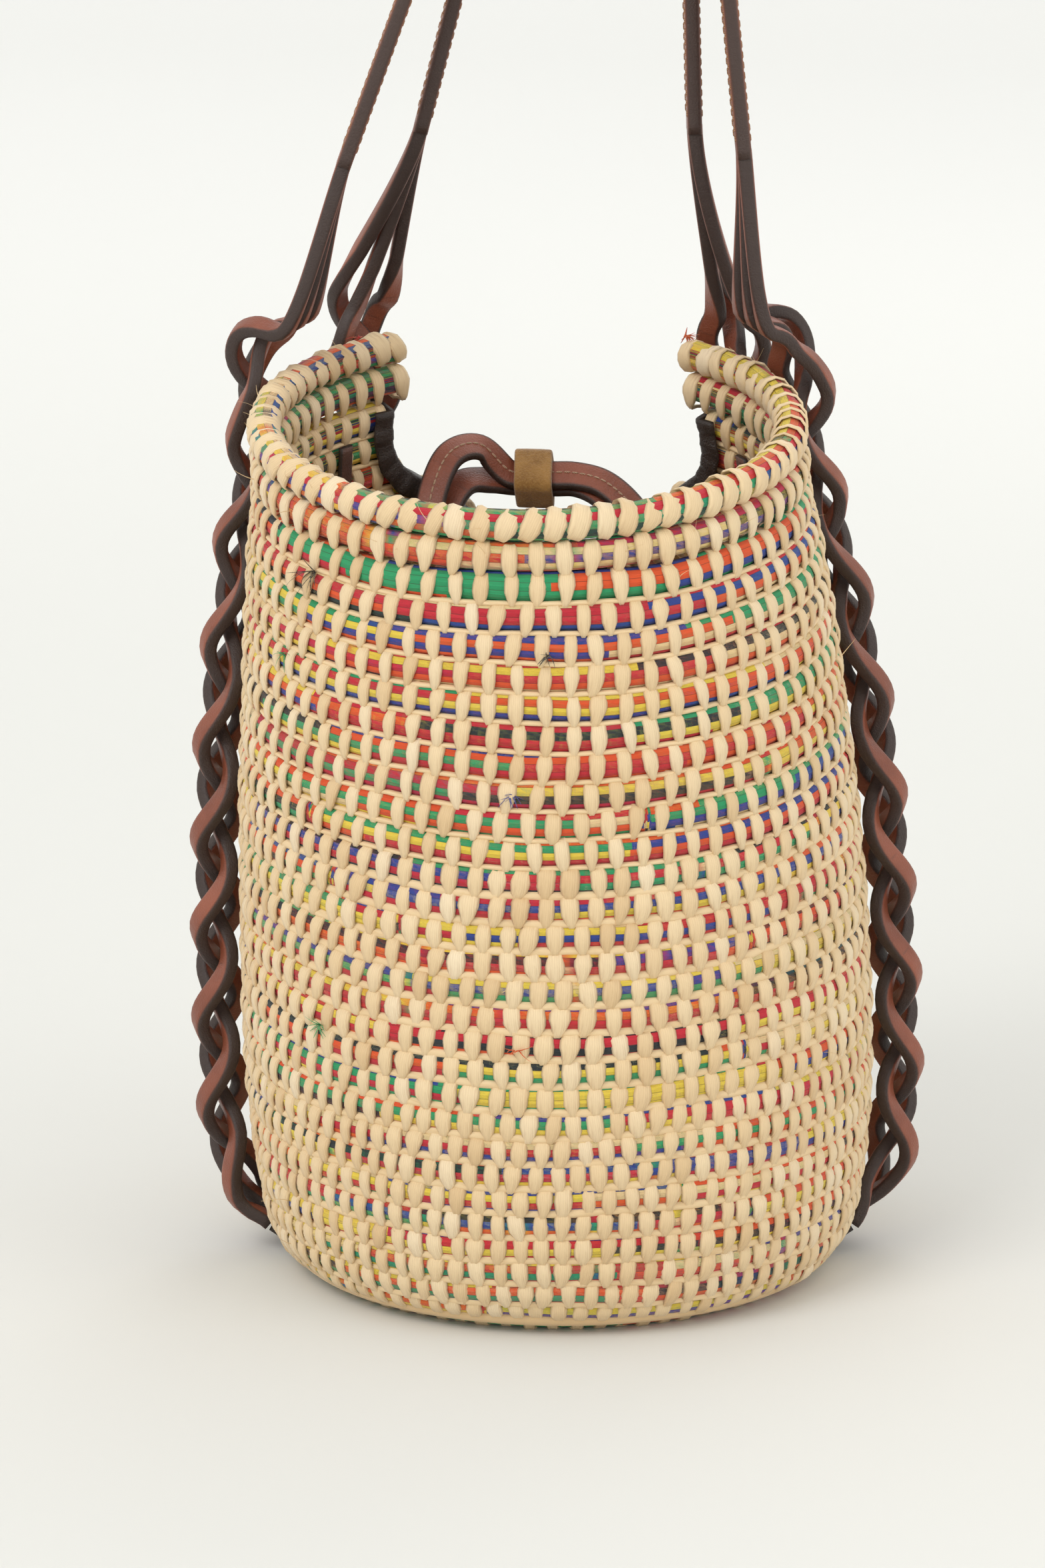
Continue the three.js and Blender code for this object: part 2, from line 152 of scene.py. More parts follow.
# %% [markdown]
# ## Turning numbers into meshes
# Almost everything on the bag is a strip of something that follows a line: a coil, a plait strand,
# a strap. So one helper sweeps a section along a path. It writes a UV map in metres, u along the
# strip and v round it, so that grain and fibres run the right way whatever the strip does, and it
# closes both ends.

# %% Mesh helpers
def mesh_object(name, points, faces, finish, uvs=None, values=None):
    """points in millimetres in the basket's own place; uvs, one for each face corner."""
    mesh = bpy.data.meshes.new(name)
    mesh.from_pydata((np.asarray(points) * 0.001 + SHIFT).tolist(), [], faces)
    if uvs is not None:
        layer = mesh.uv_layers.new(name="UVMap")
        layer.data.foreach_set("uv", np.asarray(uvs, np.float32).ravel())
    for key, data in (values or {}).items():
        mesh.attributes.new(key, "FLOAT", "POINT").data.foreach_set(
            "value", np.asarray(data, np.float32).ravel())
    mesh.materials.append(finish)
    mesh.polygons.foreach_set("use_smooth", [True] * len(mesh.polygons))
    mesh.validate()
    mesh.update()
    made = bpy.data.objects.new(name, mesh)
    bpy.context.scene.collection.objects.link(made)
    return made


def round_box(hx, hy, r, steps):
    """The outline of a box, hx and hy from its middle, with corners of radius r."""
    out = []
    for cx, cy, start in ((hx - r, hy - r, 0), (-hx + r, hy - r, 90), (-hx + r, -hy + r, 180),
                          (hx - r, -hy + r, 270)):
        for k in range(steps + 1):
            a = math.radians(start + 90 * k / steps)
            out.append((cx + r * math.cos(a), cy + r * math.sin(a)))
    return np.array(out)


def rounded(thickness, width, corner=1.0, crown=0.0):
    """A strip's section: x is its thickness, y is its width. crown domes the outer face."""
    hx, hy = thickness / 2, width / 2
    outline = round_box(hx, hy, min(corner, hx * 0.98, hy * 0.98), 3)
    section = np.vstack([outline, [[hx, -hy * 0.4], [hx, hy * 0.4]]])
    if crown:
        outer = section[:, 0] > 0
        section[outer, 0] += crown * (1 - (section[outer, 1] / hy) ** 2)
    return section


def sweep(path, facing, section, closed=False, scale=None):
    """Points, faces, uvs and the share of the way from a face's middle to its edge."""
    path, section = np.asarray(path, float), np.asarray(section, float)
    n, m = len(path), len(section)
    if closed:
        tangent = unit(np.roll(path, -1, 0) - np.roll(path, 1, 0))
    else:
        tangent = unit(np.gradient(path, axis=0))
    normal = np.broadcast_to(facing, path.shape)
    normal = unit(normal - tangent * (normal * tangent).sum(1, keepdims=True))
    across = np.cross(tangent, normal)
    size = np.ones((n, 2)) if scale is None else np.asarray(scale, float)
    points = (path[:, None] + normal[:, None] * (section[None, :, :1] * size[:, None, :1])
              + across[:, None] * (section[None, :, 1:] * size[:, None, 1:]))
    run = np.concatenate([[0], np.cumsum(np.linalg.norm(np.diff(path, axis=0), axis=1))])
    if closed:
        run = np.append(run, run[-1] + np.linalg.norm(path[0] - path[-1]))
    girth = np.concatenate([[0], np.cumsum(np.linalg.norm(
        np.diff(np.vstack([section, section[:1]]), axis=0), axis=1))])
    faces, uvs = [], []
    for i in range(n if closed else n - 1):
        j = (i + 1) % n
        for k in range(m):
            l = (k + 1) % m
            faces.append((i * m + k, i * m + l, j * m + l, j * m + k))
            a, b, c, d = run[i], run[i + 1], girth[k], girth[k + 1]
            uvs += [(a, c), (a, d), (b, d), (b, c)]
    if not closed:
        faces.append(tuple(range(m - 1, -1, -1)))
        faces.append(tuple(range((n - 1) * m, n * m)))
        uvs += [(0, girth[k]) for k in range(m - 1, -1, -1)]
        uvs += [(run[-1], girth[k]) for k in range(m)]
    uvs = np.array(uvs) * 0.001
    half = np.abs(section[:, 1]).max()
    edge = np.tile(np.abs(section[:, 1]) / half, n)
    return points.reshape(-1, 3), faces, uvs, edge


def strip(name, path, facing, section, finish, closed=False, scale=None, hung=True):
    points, faces, uvs, edge = sweep(path, facing, section, closed, scale)
    if hung:
        points = hang(points)
    return mesh_object(name, points, faces, finish, uvs, {"edge": edge})


def finished(made, body, finish_slot, *nodes):
    """Says which body a piece rides on and the plain solids it stands for; finish_slot is not used."""
    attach(made, body)
    if nodes:
        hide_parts(*nodes)
    faces = sum(len(p.vertices) - 2 for p in made.data.polygons)
    print(f"{made.name}: {faces} triangles on {body}")
    return made


# %% [markdown]
# ## Writing materials as sums
# A procedural finish is arithmetic on noise. `Value` wraps one socket, so that `0.4 + wear * 0.3`
# adds the Math nodes by itself, and `Finish.add` makes any other node from its settings and the
# values or links of its sockets.

# %% The shader helpers
class Value:
    def __init__(self, finish, socket):
        self.finish, self.socket = finish, socket

    def maths(self, operation, *values):
        return self.finish.add("ShaderNodeMath", {"operation": operation},
                               *[[k, v] for k, v in enumerate(values)])

    def __add__(self, other):
        return self.maths("ADD", self, other)

    def __sub__(self, other):
        return self.maths("SUBTRACT", self, other)

    def __mul__(self, other):
        return self.maths("MULTIPLY", self, other)

    __radd__, __rmul__ = __add__, __mul__

    def between(self, low, high):
        """0 below low, 1 above high, and smooth between them."""
        return self.finish.add("ShaderNodeMapRange", {"interpolation_type": "SMOOTHSTEP"},
                               [0, self], [1, low], [2, high])


class Finish:
    def __init__(self, name, **settings):
        self.material = bpy.data.materials.new(name)
        self.material.use_nodes = True
        self.tree = self.material.node_tree
        self.shader = self.tree.nodes["Principled BSDF"]
        for key, value in settings.items():
            self.shader.inputs[key.replace("_", " ")].default_value = value

    def add(self, kind, settings=None, *sockets, output=0):
        node = self.tree.nodes.new(kind)
        for key, value in (settings or {}).items():
            if key == "stops":
                ramp = node.color_ramp
                while len(ramp.elements) < len(value):
                    ramp.elements.new(0.5)
                for element, (at, colour) in zip(ramp.elements, value):
                    element.position, element.color = at, (*colour, 1)
            elif key == "interpolation":
                node.color_ramp.interpolation = value
            else:
                setattr(node, key, value)
        for key, value in sockets:
            self.feed(node.inputs[key], value)
        return Value(self, node.outputs[output])

    def feed(self, socket, value):
        if isinstance(value, Value):
            self.tree.links.new(value.socket, socket)
        elif isinstance(value, tuple) and len(value) == 3 and socket.type == "RGBA":
            socket.default_value = (*value, 1)
        else:
            socket.default_value = value

    def set(self, key, value):
        self.feed(self.shader.inputs[key], value)
        return self

    def number(self, name):
        return self.add("ShaderNodeAttribute", {"attribute_name": name}, output=2)

    def uv(self):
        return self.add("ShaderNodeUVMap", {"uv_map": "UVMap"})

    def place(self):
        return self.add("ShaderNodeTexCoord", None, output=3)

    def stretch(self, vector, x, y, z):
        return self.add("ShaderNodeVectorMath", {"operation": "MULTIPLY"}, [0, vector],
                        [1, (x, y, z)])

    def join(self, x, y, z):
        return self.add("ShaderNodeCombineXYZ", None, [0, x], [1, y], [2, z])

    def noise(self, vector, scale, detail=2.0, roughness=0.5):
        return self.add("ShaderNodeTexNoise", None, ["Vector", vector], ["Scale", scale],
                        ["Detail", detail], ["Roughness", roughness])

    def mix(self, share, a, b):
        return self.add("ShaderNodeMix", {"data_type": "RGBA"}, [0, share], [6, a], [7, b],
                        output=2)

    def ramp(self, value, stops, interpolation="LINEAR"):
        return self.add("ShaderNodeValToRGB", {"interpolation": interpolation, "stops": stops},
                        [0, value])

    def bump(self, height, distance, strength):
        return self.add("ShaderNodeBump", None, ["Height", height], ["Distance", distance],
                        ["Strength", strength])


def rgb(code):
    """A colour written as on the web, in the linear numbers that shaders use."""
    parts = [int(code[k:k + 2], 16) / 255 for k in (0, 2, 4)]
    return tuple(c / 12.92 if c <= 0.04045 else ((c + 0.055) / 1.055) ** 2.4 for c in parts)


# %% [markdown]
# ## The camera, the floor and the light
# The bag stands in the middle of a wide, shallow bowl that gets paler far off. It is lit by one big
# soft lamp in front and above, a weaker one from the other side, one from behind, and the pale
# sky. The camera looks down on it by 13 degrees from two metres away with a long lens, which keeps
# the rows nearly level.

# %% Stage
def look_at(thing, place, target):
    thing.location = place
    thing.rotation_euler = (Vector(target) - Vector(place)).to_track_quat("-Z", "Y").to_euler()


scene = bpy.context.scene
scene.view_settings.view_transform = "Standard"
camera = bpy.data.objects.new("camera", bpy.data.cameras.new("camera"))
scene.collection.objects.link(camera)
camera.data.lens, camera.data.sensor_width = 36 * 2.0 / 0.522, 36
target = Vector((-0.0115, 0, 0.163)) + Vector(SHIFT)
tip = math.radians(13)
look_at(camera, target + Vector((0, -2 * math.cos(tip), 2 * math.sin(tip))), target)
scene.camera = camera

floor_finish = Finish("pale floor", Roughness=0.95)
far = floor_finish.add("ShaderNodeVectorMath", {"operation": "LENGTH"},
                       [0, floor_finish.place()], output=1)
floor_finish.set("Base Color", floor_finish.mix(far.between(0.6, 3.6), rgb("E0E0DC"),
                                                rgb("FAFAF8")))
rings, spokes = 40, 96
bowl_r = np.concatenate([np.linspace(0.02, 4, 20), np.linspace(4.2, 9, 20)])
bowl_z = np.where(bowl_r > 4, (bowl_r - 4) ** 2 * 0.25, 0.0)
turns = np.linspace(0, 2 * np.pi, spokes, endpoint=False)
bowl = np.stack([np.outer(bowl_r, np.cos(turns)), np.outer(bowl_r, np.sin(turns)),
                 np.repeat(bowl_z[:, None], spokes, 1)], -1).reshape(-1, 3)
bowl_faces = [(i * spokes + k, (i + 1) * spokes + k, (i + 1) * spokes + (k + 1) % spokes,
               i * spokes + (k + 1) % spokes) for i in range(rings - 1) for k in range(spokes)]
bowl_faces.append(tuple(range(spokes)))
floor = mesh_object("floor", (bowl - SHIFT) * 1000, bowl_faces, floor_finish.material)


def lamp(name, place, target_point, size, power):
    light = bpy.data.objects.new(name, bpy.data.lights.new(name, "AREA"))
    light.data.shape, light.data.size, light.data.energy = "DISK", size, power
    scene.collection.objects.link(light)
    look_at(light, place, target_point)


lamp("key", (-1.5, -1.9, 2.3), (0, 0, 0.15), 1.6, 30)
lamp("fill", (2.0, -1.2, 1.2), (0, 0, 0.15), 1.8, 8)
lamp("back", (0.6, 1.9, 1.9), (0, 0, 0.2), 1.6, 9)
world = bpy.data.worlds.new("pale sky")
scene.world = world
world.use_nodes = True
world.node_tree.nodes["Background"].inputs[0].default_value = (*rgb("F6F6F4"), 1)
world.node_tree.nodes["Background"].inputs[1].default_value = 1.02
print("camera and three soft lamps are placed")

# %% [markdown]
# ## Raffia
# Raffia is a leaf, split into narrow ribbons: straw coloured, slightly glossy, ribbed along its
# length. Two finishes are needed. The wraps are natural, each a little different in tone. The
# bundle inside the coils is a mix of natural and dyed ribbons, so its colour changes from ribbon
# to ribbon round the coil, and from place to place along it.

# %% Raffia finishes
def raffia_wrap():
    f = Finish("natural raffia", Roughness=0.55, Sheen_Weight=0.12)
    uv, tone = f.uv(), f.number("tone")
    fibres = f.noise(f.stretch(uv, 70, 2600, 1), 1.0, 3, 0.65)
    cloud = f.noise(f.place(), 22, 2, 0.5)
    natural = f.ramp(tone, [(0.0, rgb("DDBE90")), (0.12, rgb("E6CA9E")), (0.5, rgb("EBD1A6")),
                            (0.9, rgb("EED7B0")), (1.0, rgb("F1DDBB"))])
    shade = f.mix((cloud - 0.35) * 0.5, natural, rgb("D6AE7C"))
    lined = f.mix(fibres.between(0.52, 0.3) * 0.45, shade, rgb("B98E62"))
    f.set("Base Color", lined)
    f.set("Roughness", 0.42 + fibres * 0.3)
    f.set("Normal", f.bump(fibres, 0.0006, 0.55))
    return f.material


CORE_STOPS = [
    (0.0, rgb("C81E32")), (0.19, rgb("E2531E")), (0.38, rgb("E8CB45")), (0.55, rgb("249A62")),
    (0.72, rgb("233F93")), (0.84, rgb("1E262C")), (0.93, rgb("E6C994")),
]


def raffia_core():
    f = Finish("raffia bundle", Roughness=0.6, Sheen_Weight=0.1)
    along, around, row = f.number("along"), f.number("around"), f.number("row")
    sway = f.noise(f.join(along * 11, row * 3.1, around * 2), 1.0, 1, 0.5)
    ribbon = around * 11 + row * 0.37 + sway * 1.5
    which = f.add("ShaderNodeMath", {"operation": "FLOOR"}, [0, ribbon])
    shifted = f.add("ShaderNodeTexWhiteNoise", {"noise_dimensions": "2D"},
                    ["Vector", f.join(which, row, 0.0)])
    piece = f.add("ShaderNodeMath", {"operation": "FLOOR"}, [0, along * 9.5 + shifted * 5.0])
    pick = f.add("ShaderNodeTexWhiteNoise", {"noise_dimensions": "3D"},
                 ["Vector", f.join(which, piece, row * 1.7)])
    colour = f.ramp(pick, CORE_STOPS, "CONSTANT")
    fibres = f.noise(f.join(along * 60, ribbon * 14, row), 1.0, 3, 0.6)
    edge = f.add("ShaderNodeMath", {"operation": "PINGPONG"}, [0, ribbon], [1, 0.5])
    # Near each ribbon's edge the colour is mixed 60 percent towards dark brown: painted shade in the
    # grooves between ribbons.
    painted_groove_shade_mask = edge.between(0.0, 0.07)
    dark = f.mix(painted_groove_shade_mask, f.mix(0.6, colour, rgb("3A2416")), colour)
    faded = f.mix(fibres.between(0.45, 0.2) * 0.3, dark, rgb("4A3626"))
    f.set("Base Color", f.mix(fibres.between(0.62, 0.8) * 0.1, faded, rgb("E9D2A8")))
    f.set("Roughness", 0.48 + fibres * 0.3)
    f.set("Normal", f.bump(edge * 1.4 + fibres * 0.35, 0.0012, 0.8))
    return f.material


WRAP, CORE = raffia_wrap(), raffia_core()

# %% [markdown]
# ## Where the rows of coil run
# The wall is 28 rows, sewn one on another, with two thicker coils on top and rings under the base.
# Each row is a line: the coil's middle, just inside the wall's outer face, with the direction that
# points outwards stored at each point. Rows that meet the notch stop at its leather binding, and
# rows that pass the straps under the base are pressed away from them.

# %% Rows
WALL_ROWS, ROW_STEPS, COIL_INSET = 28, 150, 4.7
BASE_ROW, BASE_RINGS, FIRST_RING, RING_PITCH = 40, 9, 81, 9.6
UNROLLED = 90.0
NOTCH_HALF = math.radians(40) * UNROLLED
COIL_END = math.radians(36.5)


def around(angles, radius, height):
    """Points at angles round the basket's axis."""
    return np.stack([np.cos(angles) * radius, np.sin(angles) * radius,
                     np.broadcast_to(height, angles.shape)], -1)


def bent(points_a, points_b, points_c, count=12):
    t = np.linspace(0, 1, count)[:, None]
    a, b, c = (np.array(q, float) for q in (points_a, points_b, points_c))
    return (1 - t) ** 2 * a + 2 * t * (1 - t) * b + t ** 2 * c


def notch_line():
    side, corner, low = NOTCH_HALF, 246.0, 205.0
    left = np.vstack([
        [[-side, BASKET_HEIGHT]],
        bent((-side - 1, corner + 12), (-side - 1, corner), (-side + 12, corner - 7)),
        bent((-12, low + 6.5), (0, low), (0, low + 3.25))[:1],
    ])
    middle = bent((-12, low + 6.5), (0, low), (12, low + 6.5))
    right = left[::-1] * [-1, 1]
    return np.vstack([left[:-1], middle, right[1:]])


NOTCH = Path(notch_line(), smooth=False)
half_line = NOTCH.dense[NOTCH.dense[:, 0] > 0]
half_line = half_line[np.argsort(half_line[:, 1])]


def notch_half(height):
    """Half the notch's width on the unrolled wall at a height; nothing below it."""
    return np.where(height < 209, -9.0, np.interp(height, half_line[:, 1], half_line[:, 0]))


UNDER_STRAPS = {"back": (7, 12, 0.0), "front": (52, 56, FRONT_TURN)}


def under_strap_line(angle, under_y, turn):
    direction = np.array([math.cos(math.radians(angle)), math.sin(math.radians(angle)), 0])
    top, bend, inner = direction * 97.5, direction * 90, direction * 80
    right = [(top[0], top[1], 9.0), (bend[0], bend[1], 4.6),
             (inner[0], (inner[1] + under_y) / 2, 2.85), (inner[0] - 16, under_y, 2.85)]
    points = np.array([*right, (0, under_y, 2.85), *[(-x, y, z) for x, y, z in right[::-1]]])
    c, s = math.cos(turn), math.sin(turn)
    return Path(points @ np.array([[c, s, 0], [-s, c, 0], [0, 0, 1]]))


strap_lines = {k: under_strap_line(*v) for k, v in UNDER_STRAPS.items()}
strap_points = np.vstack([p.at(np.linspace(0, 1, 120)) for p in strap_lines.values()])


def near_strap(points):
    """1 where a coil would run into a strap under the base, 0 well away from one."""
    far = np.linalg.norm(points[:, None] - strap_points[None], axis=2).min(1)
    return 1 - np.clip((far - 12.5) / 4.5, 0, 1)


row_pitch = 9.85 - 0.65 * np.arange(WALL_ROWS) / (WALL_ROWS - 1)
row_pitch *= (PROFILE.length - 13) / row_pitch.sum()
from_top = np.cumsum(row_pitch) - row_pitch / 2
ROWS = []  # (points, outward, row number, whether the row closes)
for k, depth in enumerate(from_top):
    share = 1 - depth / PROFILE.length
    (radius, height), (dr, dz) = PROFILE.at(share), PROFILE.along(share)
    nr, nz = dz, -dr
    radius, height = radius - COIL_INSET * nr, height - COIL_INSET * nz
    reach = (notch_half(height) + 1.5) / UNROLLED if height > 209 else 0
    whole = reach <= 0
    middle = math.pi / 2 + FRONT_TURN
    if whole:
        turns = np.linspace(0, 2 * np.pi, ROW_STEPS, endpoint=False)
        angles = middle + rng.uniform(0, 2 * np.pi) - turns
    else:
        angles = middle - np.linspace(reach, 2 * np.pi - reach, ROW_STEPS)
    out, line = around(angles, nr, nz), around(angles, radius, height)
    wander = (0.6 * np.sin(angles * 3 + k * 0.25) + 0.35 * np.sin(angles * 7 + k * 0.5)
              + 0.15 * np.sin(angles * 13 + k * 2.3))
    line[:, 2] += wander
    line -= out * (near_strap(line) * 4.6)[:, None]
    ROWS.append((line, out, k, whole))
for k in range(BASE_RINGS):
    radius = FIRST_RING - RING_PITCH * k
    angles = -np.linspace(0, 2 * np.pi, max(24, int(radius * 1.7)), endpoint=False)
    line = around(angles, radius, 4.5)
    line[:, 2] += near_strap(line * [1, 1, 0.65]) * 5.0
    out = np.zeros_like(line) + [0, 0, -1.0]
    ROWS.append((line, out, BASE_ROW + k, True))
print(len(ROWS), "rows, pitch", row_pitch.max().round(2), "to", row_pitch.min().round(2), "mm")


def rows_object(name, rows):
    """The rows as loose edges, with what the geometry trees need stored at their points."""
    points, edges, out, number = [], [], [], []
    for line, outward, k, whole in rows:
        first, n = len(points), len(line)
        points += hang(line).tolist()
        out += outward.tolist()
        number += [k] * n
        edges += [(first + i, first + i + 1) for i in range(n - 1)]
        if whole:
            edges.append((first + n - 1, first))
    mesh = bpy.data.meshes.new(name)
    mesh.from_pydata((np.array(points) * 0.001 + SHIFT).tolist(), edges, [])
    mesh.attributes.new("outward", "FLOAT_VECTOR", "POINT").data.foreach_set(
        "vector", np.array(out, np.float32).ravel())
    mesh.attributes.new("row", "FLOAT", "POINT").data.foreach_set(
        "value", np.array(number, np.float32))
    made = bpy.data.objects.new(name, mesh)
    scene.collection.objects.link(made)
    return made


# %% [markdown]
# ## One wrap
# A wrap is a ribbon wound once round the bundle. Outside, it lies as an upright oval that narrows
# to a point where it dives into the row below. It is a closed band of a few dozen faces, because
# there are thousands of them. Six slightly different ones stop them looking stamped.

# %% Wrap shapes
WALL_LOOP = np.array([  # outwards, up, width: half the way round the bundle
    (0, 4.95, 5.2), (2.7, 4.4, 5.5), (4.35, 2.5, 5.9), (4.95, 0.1, 6.0), (4.8, -2.1, 5.6),
    (4.25, -4.1, 4.5), (3.8, -5.7, 3.1), (2.6, -7.0, 1.8), (0, -6.7, 1.3),
])
RIM_LOOP = np.array([
    (0, 5.5, 6.2), (3.3, 4.4, 6.3), (5.2, 1.9, 6.4), (5.45, -0.9, 6.2), (4.7, -3.4, 5.6),
    (3.0, -5.1, 4.8), (0, -5.8, 4.2),
])


def wrap_mesh(name, shape, seed):
    jitter = np.random.default_rng(seed)
    outer = shape.copy()
    outer[:, 2] *= jitter.uniform(0.9, 1.08, len(outer))
    lean_in = jitter.uniform(-0.7, 0.7)
    loop = np.vstack([outer, (outer * [-1, 1, 1])[-2:0:-1]])
    n = len(loop)
    flat = loop[:, :2]
    tangent = unit(np.roll(flat, -1, 0) - np.roll(flat, 1, 0))
    normal = np.stack([-tangent[:, 1], tangent[:, 0]], 1)
    normal *= np.sign((normal * (flat - [0, -0.5])).sum(1))[:, None]
    run = np.concatenate([[0], np.cumsum(np.linalg.norm(
        np.diff(np.vstack([flat, flat[:1]]), axis=0), axis=1))])
    across = [(-1, -0.8), (-0.62, -0.06), (jitter.uniform(-0.15, 0.15), -0.02), (0.62, -0.06),
              (1, -0.8)]
    points, faces, uvs = [], [], []
    for i in range(n):
        sway = lean_in * (-flat[i, 1] / 5) ** 2 * np.sign(-flat[i, 1])
        for side, lift in across:
            p = flat[i] + normal[i] * (lift + (0.14 if abs(side) == 0.62 else 0))
            points.append((side * loop[i, 2] / 2 + sway, p[0], p[1]))
    m = len(across)
    for i in range(n):
        j = (i + 1) % n
        for k in range(m):
            l = (k + 1) % m
            faces.append((i * m + k, j * m + k, j * m + l, i * m + l))
            v = [loop[i, 2] * across[k][0] / 2, loop[j, 2] * across[k][0] / 2,
                 loop[j, 2] * across[l][0] / 2, loop[i, 2] * across[l][0] / 2]
            uvs += [(run[i], v[0]), (run[i + 1], v[1]), (run[i + 1], v[2]), (run[i], v[3])]
    mesh = bpy.data.meshes.new(name)
    mesh.from_pydata((np.array(points) * 0.001).tolist(), [], faces)
    layer = mesh.uv_layers.new(name="UVMap")
    layer.data.foreach_set("uv", (np.array(uvs, np.float32) * 0.001).ravel())
    mesh.polygons.foreach_set("use_smooth", [True] * len(mesh.polygons))
    mesh.update()
    return bpy.data.objects.new(name, mesh)


def wrap_kinds(name, shape):
    family = bpy.data.collections.new(name)
    for k in range(6):
        family.objects.link(wrap_mesh(f"{name}_{k}", shape, 30 + k))
    return family


wall_wraps, rim_wraps = wrap_kinds("wall wraps", WALL_LOOP), wrap_kinds("rim wraps", RIM_LOOP)

# %% [markdown]
# ## Winding the wraps with Geometry Nodes
# The tree turns the rows' edges into curves, spaces points along them, and stands a wrap on each
# point: its width along the row and its face outwards. Tilt, its spread, size and seed are named
# inputs, so the same tree also wraps the slanted rim. Each wrap gets a random `tone`, which the
# raffia finish reads.

# %% The wrap tree
class Tree:
    """A geometry tree: inputs are (name, kind, value)."""

    def __init__(self, name, inputs):
        self.group = bpy.data.node_groups.new(name, "GeometryNodeTree")
        face = self.group.interface
        face.new_socket("Geometry", in_out="INPUT", socket_type="NodeSocketGeometry")
        for label, kind, value in inputs:
            socket = face.new_socket(label, in_out="INPUT", socket_type=f"NodeSocket{kind}")
            if value is not None:
                socket.default_value = value
        face.new_socket("Geometry", in_out="OUTPUT", socket_type="NodeSocketGeometry")
        self.source = self.group.nodes.new("NodeGroupInput")
        self.result = self.group.nodes.new("NodeGroupOutput")

    def input(self, name):
        return self.source.outputs[name]

    def add(self, kind, settings=None, *sockets, output=0):
        node = self.group.nodes.new(kind)
        for key, value in (settings or {}).items():
            setattr(node, key, value)
        for key, value in sockets:
            if isinstance(value, bpy.types.NodeSocket):
                self.group.links.new(value, node.inputs[key])
            else:
                node.inputs[key].default_value = value
        return node.outputs[output]

    def spaced(self, length):
        """The edges as curves, with points the named input apart."""
        curve = self.add("GeometryNodeMeshToCurve", None, ["Mesh", self.input("Geometry")])
        return self.add("GeometryNodeResampleCurve", {"mode": "LENGTH"}, ["Curve", curve],
                        ["Length", self.input(length)])

    def random(self, low, high):
        """A random number, or a vector if low is one, for each point."""
        vector = isinstance(low, tuple)
        return self.add("FunctionNodeRandomValue",
                        {"data_type": "FLOAT_VECTOR" if vector else "FLOAT"},
                        [0 if vector else 2, low], [1 if vector else 3, high],
                        ["Seed", self.input("Seed")], output=0 if vector else 1)

    def store(self, geometry, name, value, domain="POINT"):
        return self.add("GeometryNodeStoreNamedAttribute",
                        {"data_type": "FLOAT", "domain": domain}, ["Geometry", geometry],
                        ["Name", name], ["Value", value])

    def end(self, geometry, material):
        whole = self.add("GeometryNodeRealizeInstances", None, ["Geometry", geometry])
        dressed = self.add("GeometryNodeSetMaterial", None, ["Geometry", whole],
                           ["Material", material])
        self.group.links.new(dressed, self.result.inputs[0])

    def apply(self, carrier, name, **values):
        """Runs the tree on carrier and returns the result as a plain mesh object."""
        modifier = carrier.modifiers.new("tree", "NODES")
        modifier.node_group = self.group
        for item in self.group.interface.items_tree:
            key = item.name.replace(" ", "_").lower()
            if item.in_out == "INPUT" and key in values:
                modifier[item.identifier] = values[key]
        graph = bpy.context.evaluated_depsgraph_get()
        mesh = bpy.data.meshes.new_from_object(carrier.evaluated_get(graph))
        mesh.name = name
        carrier.modifiers.remove(modifier)
        made = bpy.data.objects.new(name, mesh)
        scene.collection.objects.link(made)
        bpy.data.objects.remove(carrier)
        return made


def wrap_tree():
    t = Tree("coil wraps", [("Family", "Collection", None), ("Spacing", "Float", 0.0084),
                            ("Tilt", "Float", 0.0), ("Spread", "Float", 0.09),
                            ("Size", "Vector", (1, 1, 1)), ("Seed", "Int", 0),
                            ("Finish", "Material", None)])
    points = t.spaced("Spacing")
    row_way = t.add("GeometryNodeInputTangent")
    outward = t.add("GeometryNodeInputNamedAttribute", {"data_type": "FLOAT_VECTOR"},
                    ["Name", "outward"])
    turn = t.add("FunctionNodeAxesToRotation", {"primary_axis": "X", "secondary_axis": "Y"},
                 ["Primary Axis", row_way], ["Secondary Axis", outward])
    spread = t.add("ShaderNodeMath", {"operation": "MULTIPLY"}, [0, t.random(-1.0, 1.0)],
                   [1, t.input("Spread")])
    tilt = t.add("ShaderNodeMath", {"operation": "ADD"}, [0, spread], [1, t.input("Tilt")])
    slant = t.add("FunctionNodeAxisAngleToRotation", None, ["Axis", (0.0, 1.0, 0.0)],
                  ["Angle", tilt])
    way = t.add("FunctionNodeRotateRotation", {"rotation_space": "LOCAL"}, [0, turn],
                [1, slant])
    wobble = t.random((0.86, 0.97, 0.94), (1.1, 1.06, 1.05))
    size = t.add("ShaderNodeVectorMath", {"operation": "MULTIPLY"}, [0, wobble],
                 [1, t.input("Size")])
    family = t.add("GeometryNodeCollectionInfo", None, ["Collection", t.input("Family")],
                   ["Separate Children", True], ["Reset Children", True])
    copies = t.add("GeometryNodeInstanceOnPoints", None, ["Points", points],
                   ["Instance", family], ["Pick Instance", True], ["Rotation", way],
                   ["Scale", size])
    nudge = t.random((-0.0008, -0.0001, -0.0003), (0.0008, 0.0002, 0.0003))
    copies = t.add("GeometryNodeTranslateInstances", None, ["Instances", copies],
                   ["Translation", nudge], ["Local Space", True])
    t.end(t.store(copies, "tone", t.random(0.0, 1.0), "INSTANCE"), t.input("Finish"))
    return t


WRAPS = wrap_tree()

# %% Wind the wall and the base
def wind(tree, name, rows, *nodes, **values):
    """Runs a tree along rows; what it makes is raffia on the basket."""
    made = tree.apply(rows_object(name + "_lines", rows), name, **values)
    return finished(made, "basket", "raffia", *nodes)


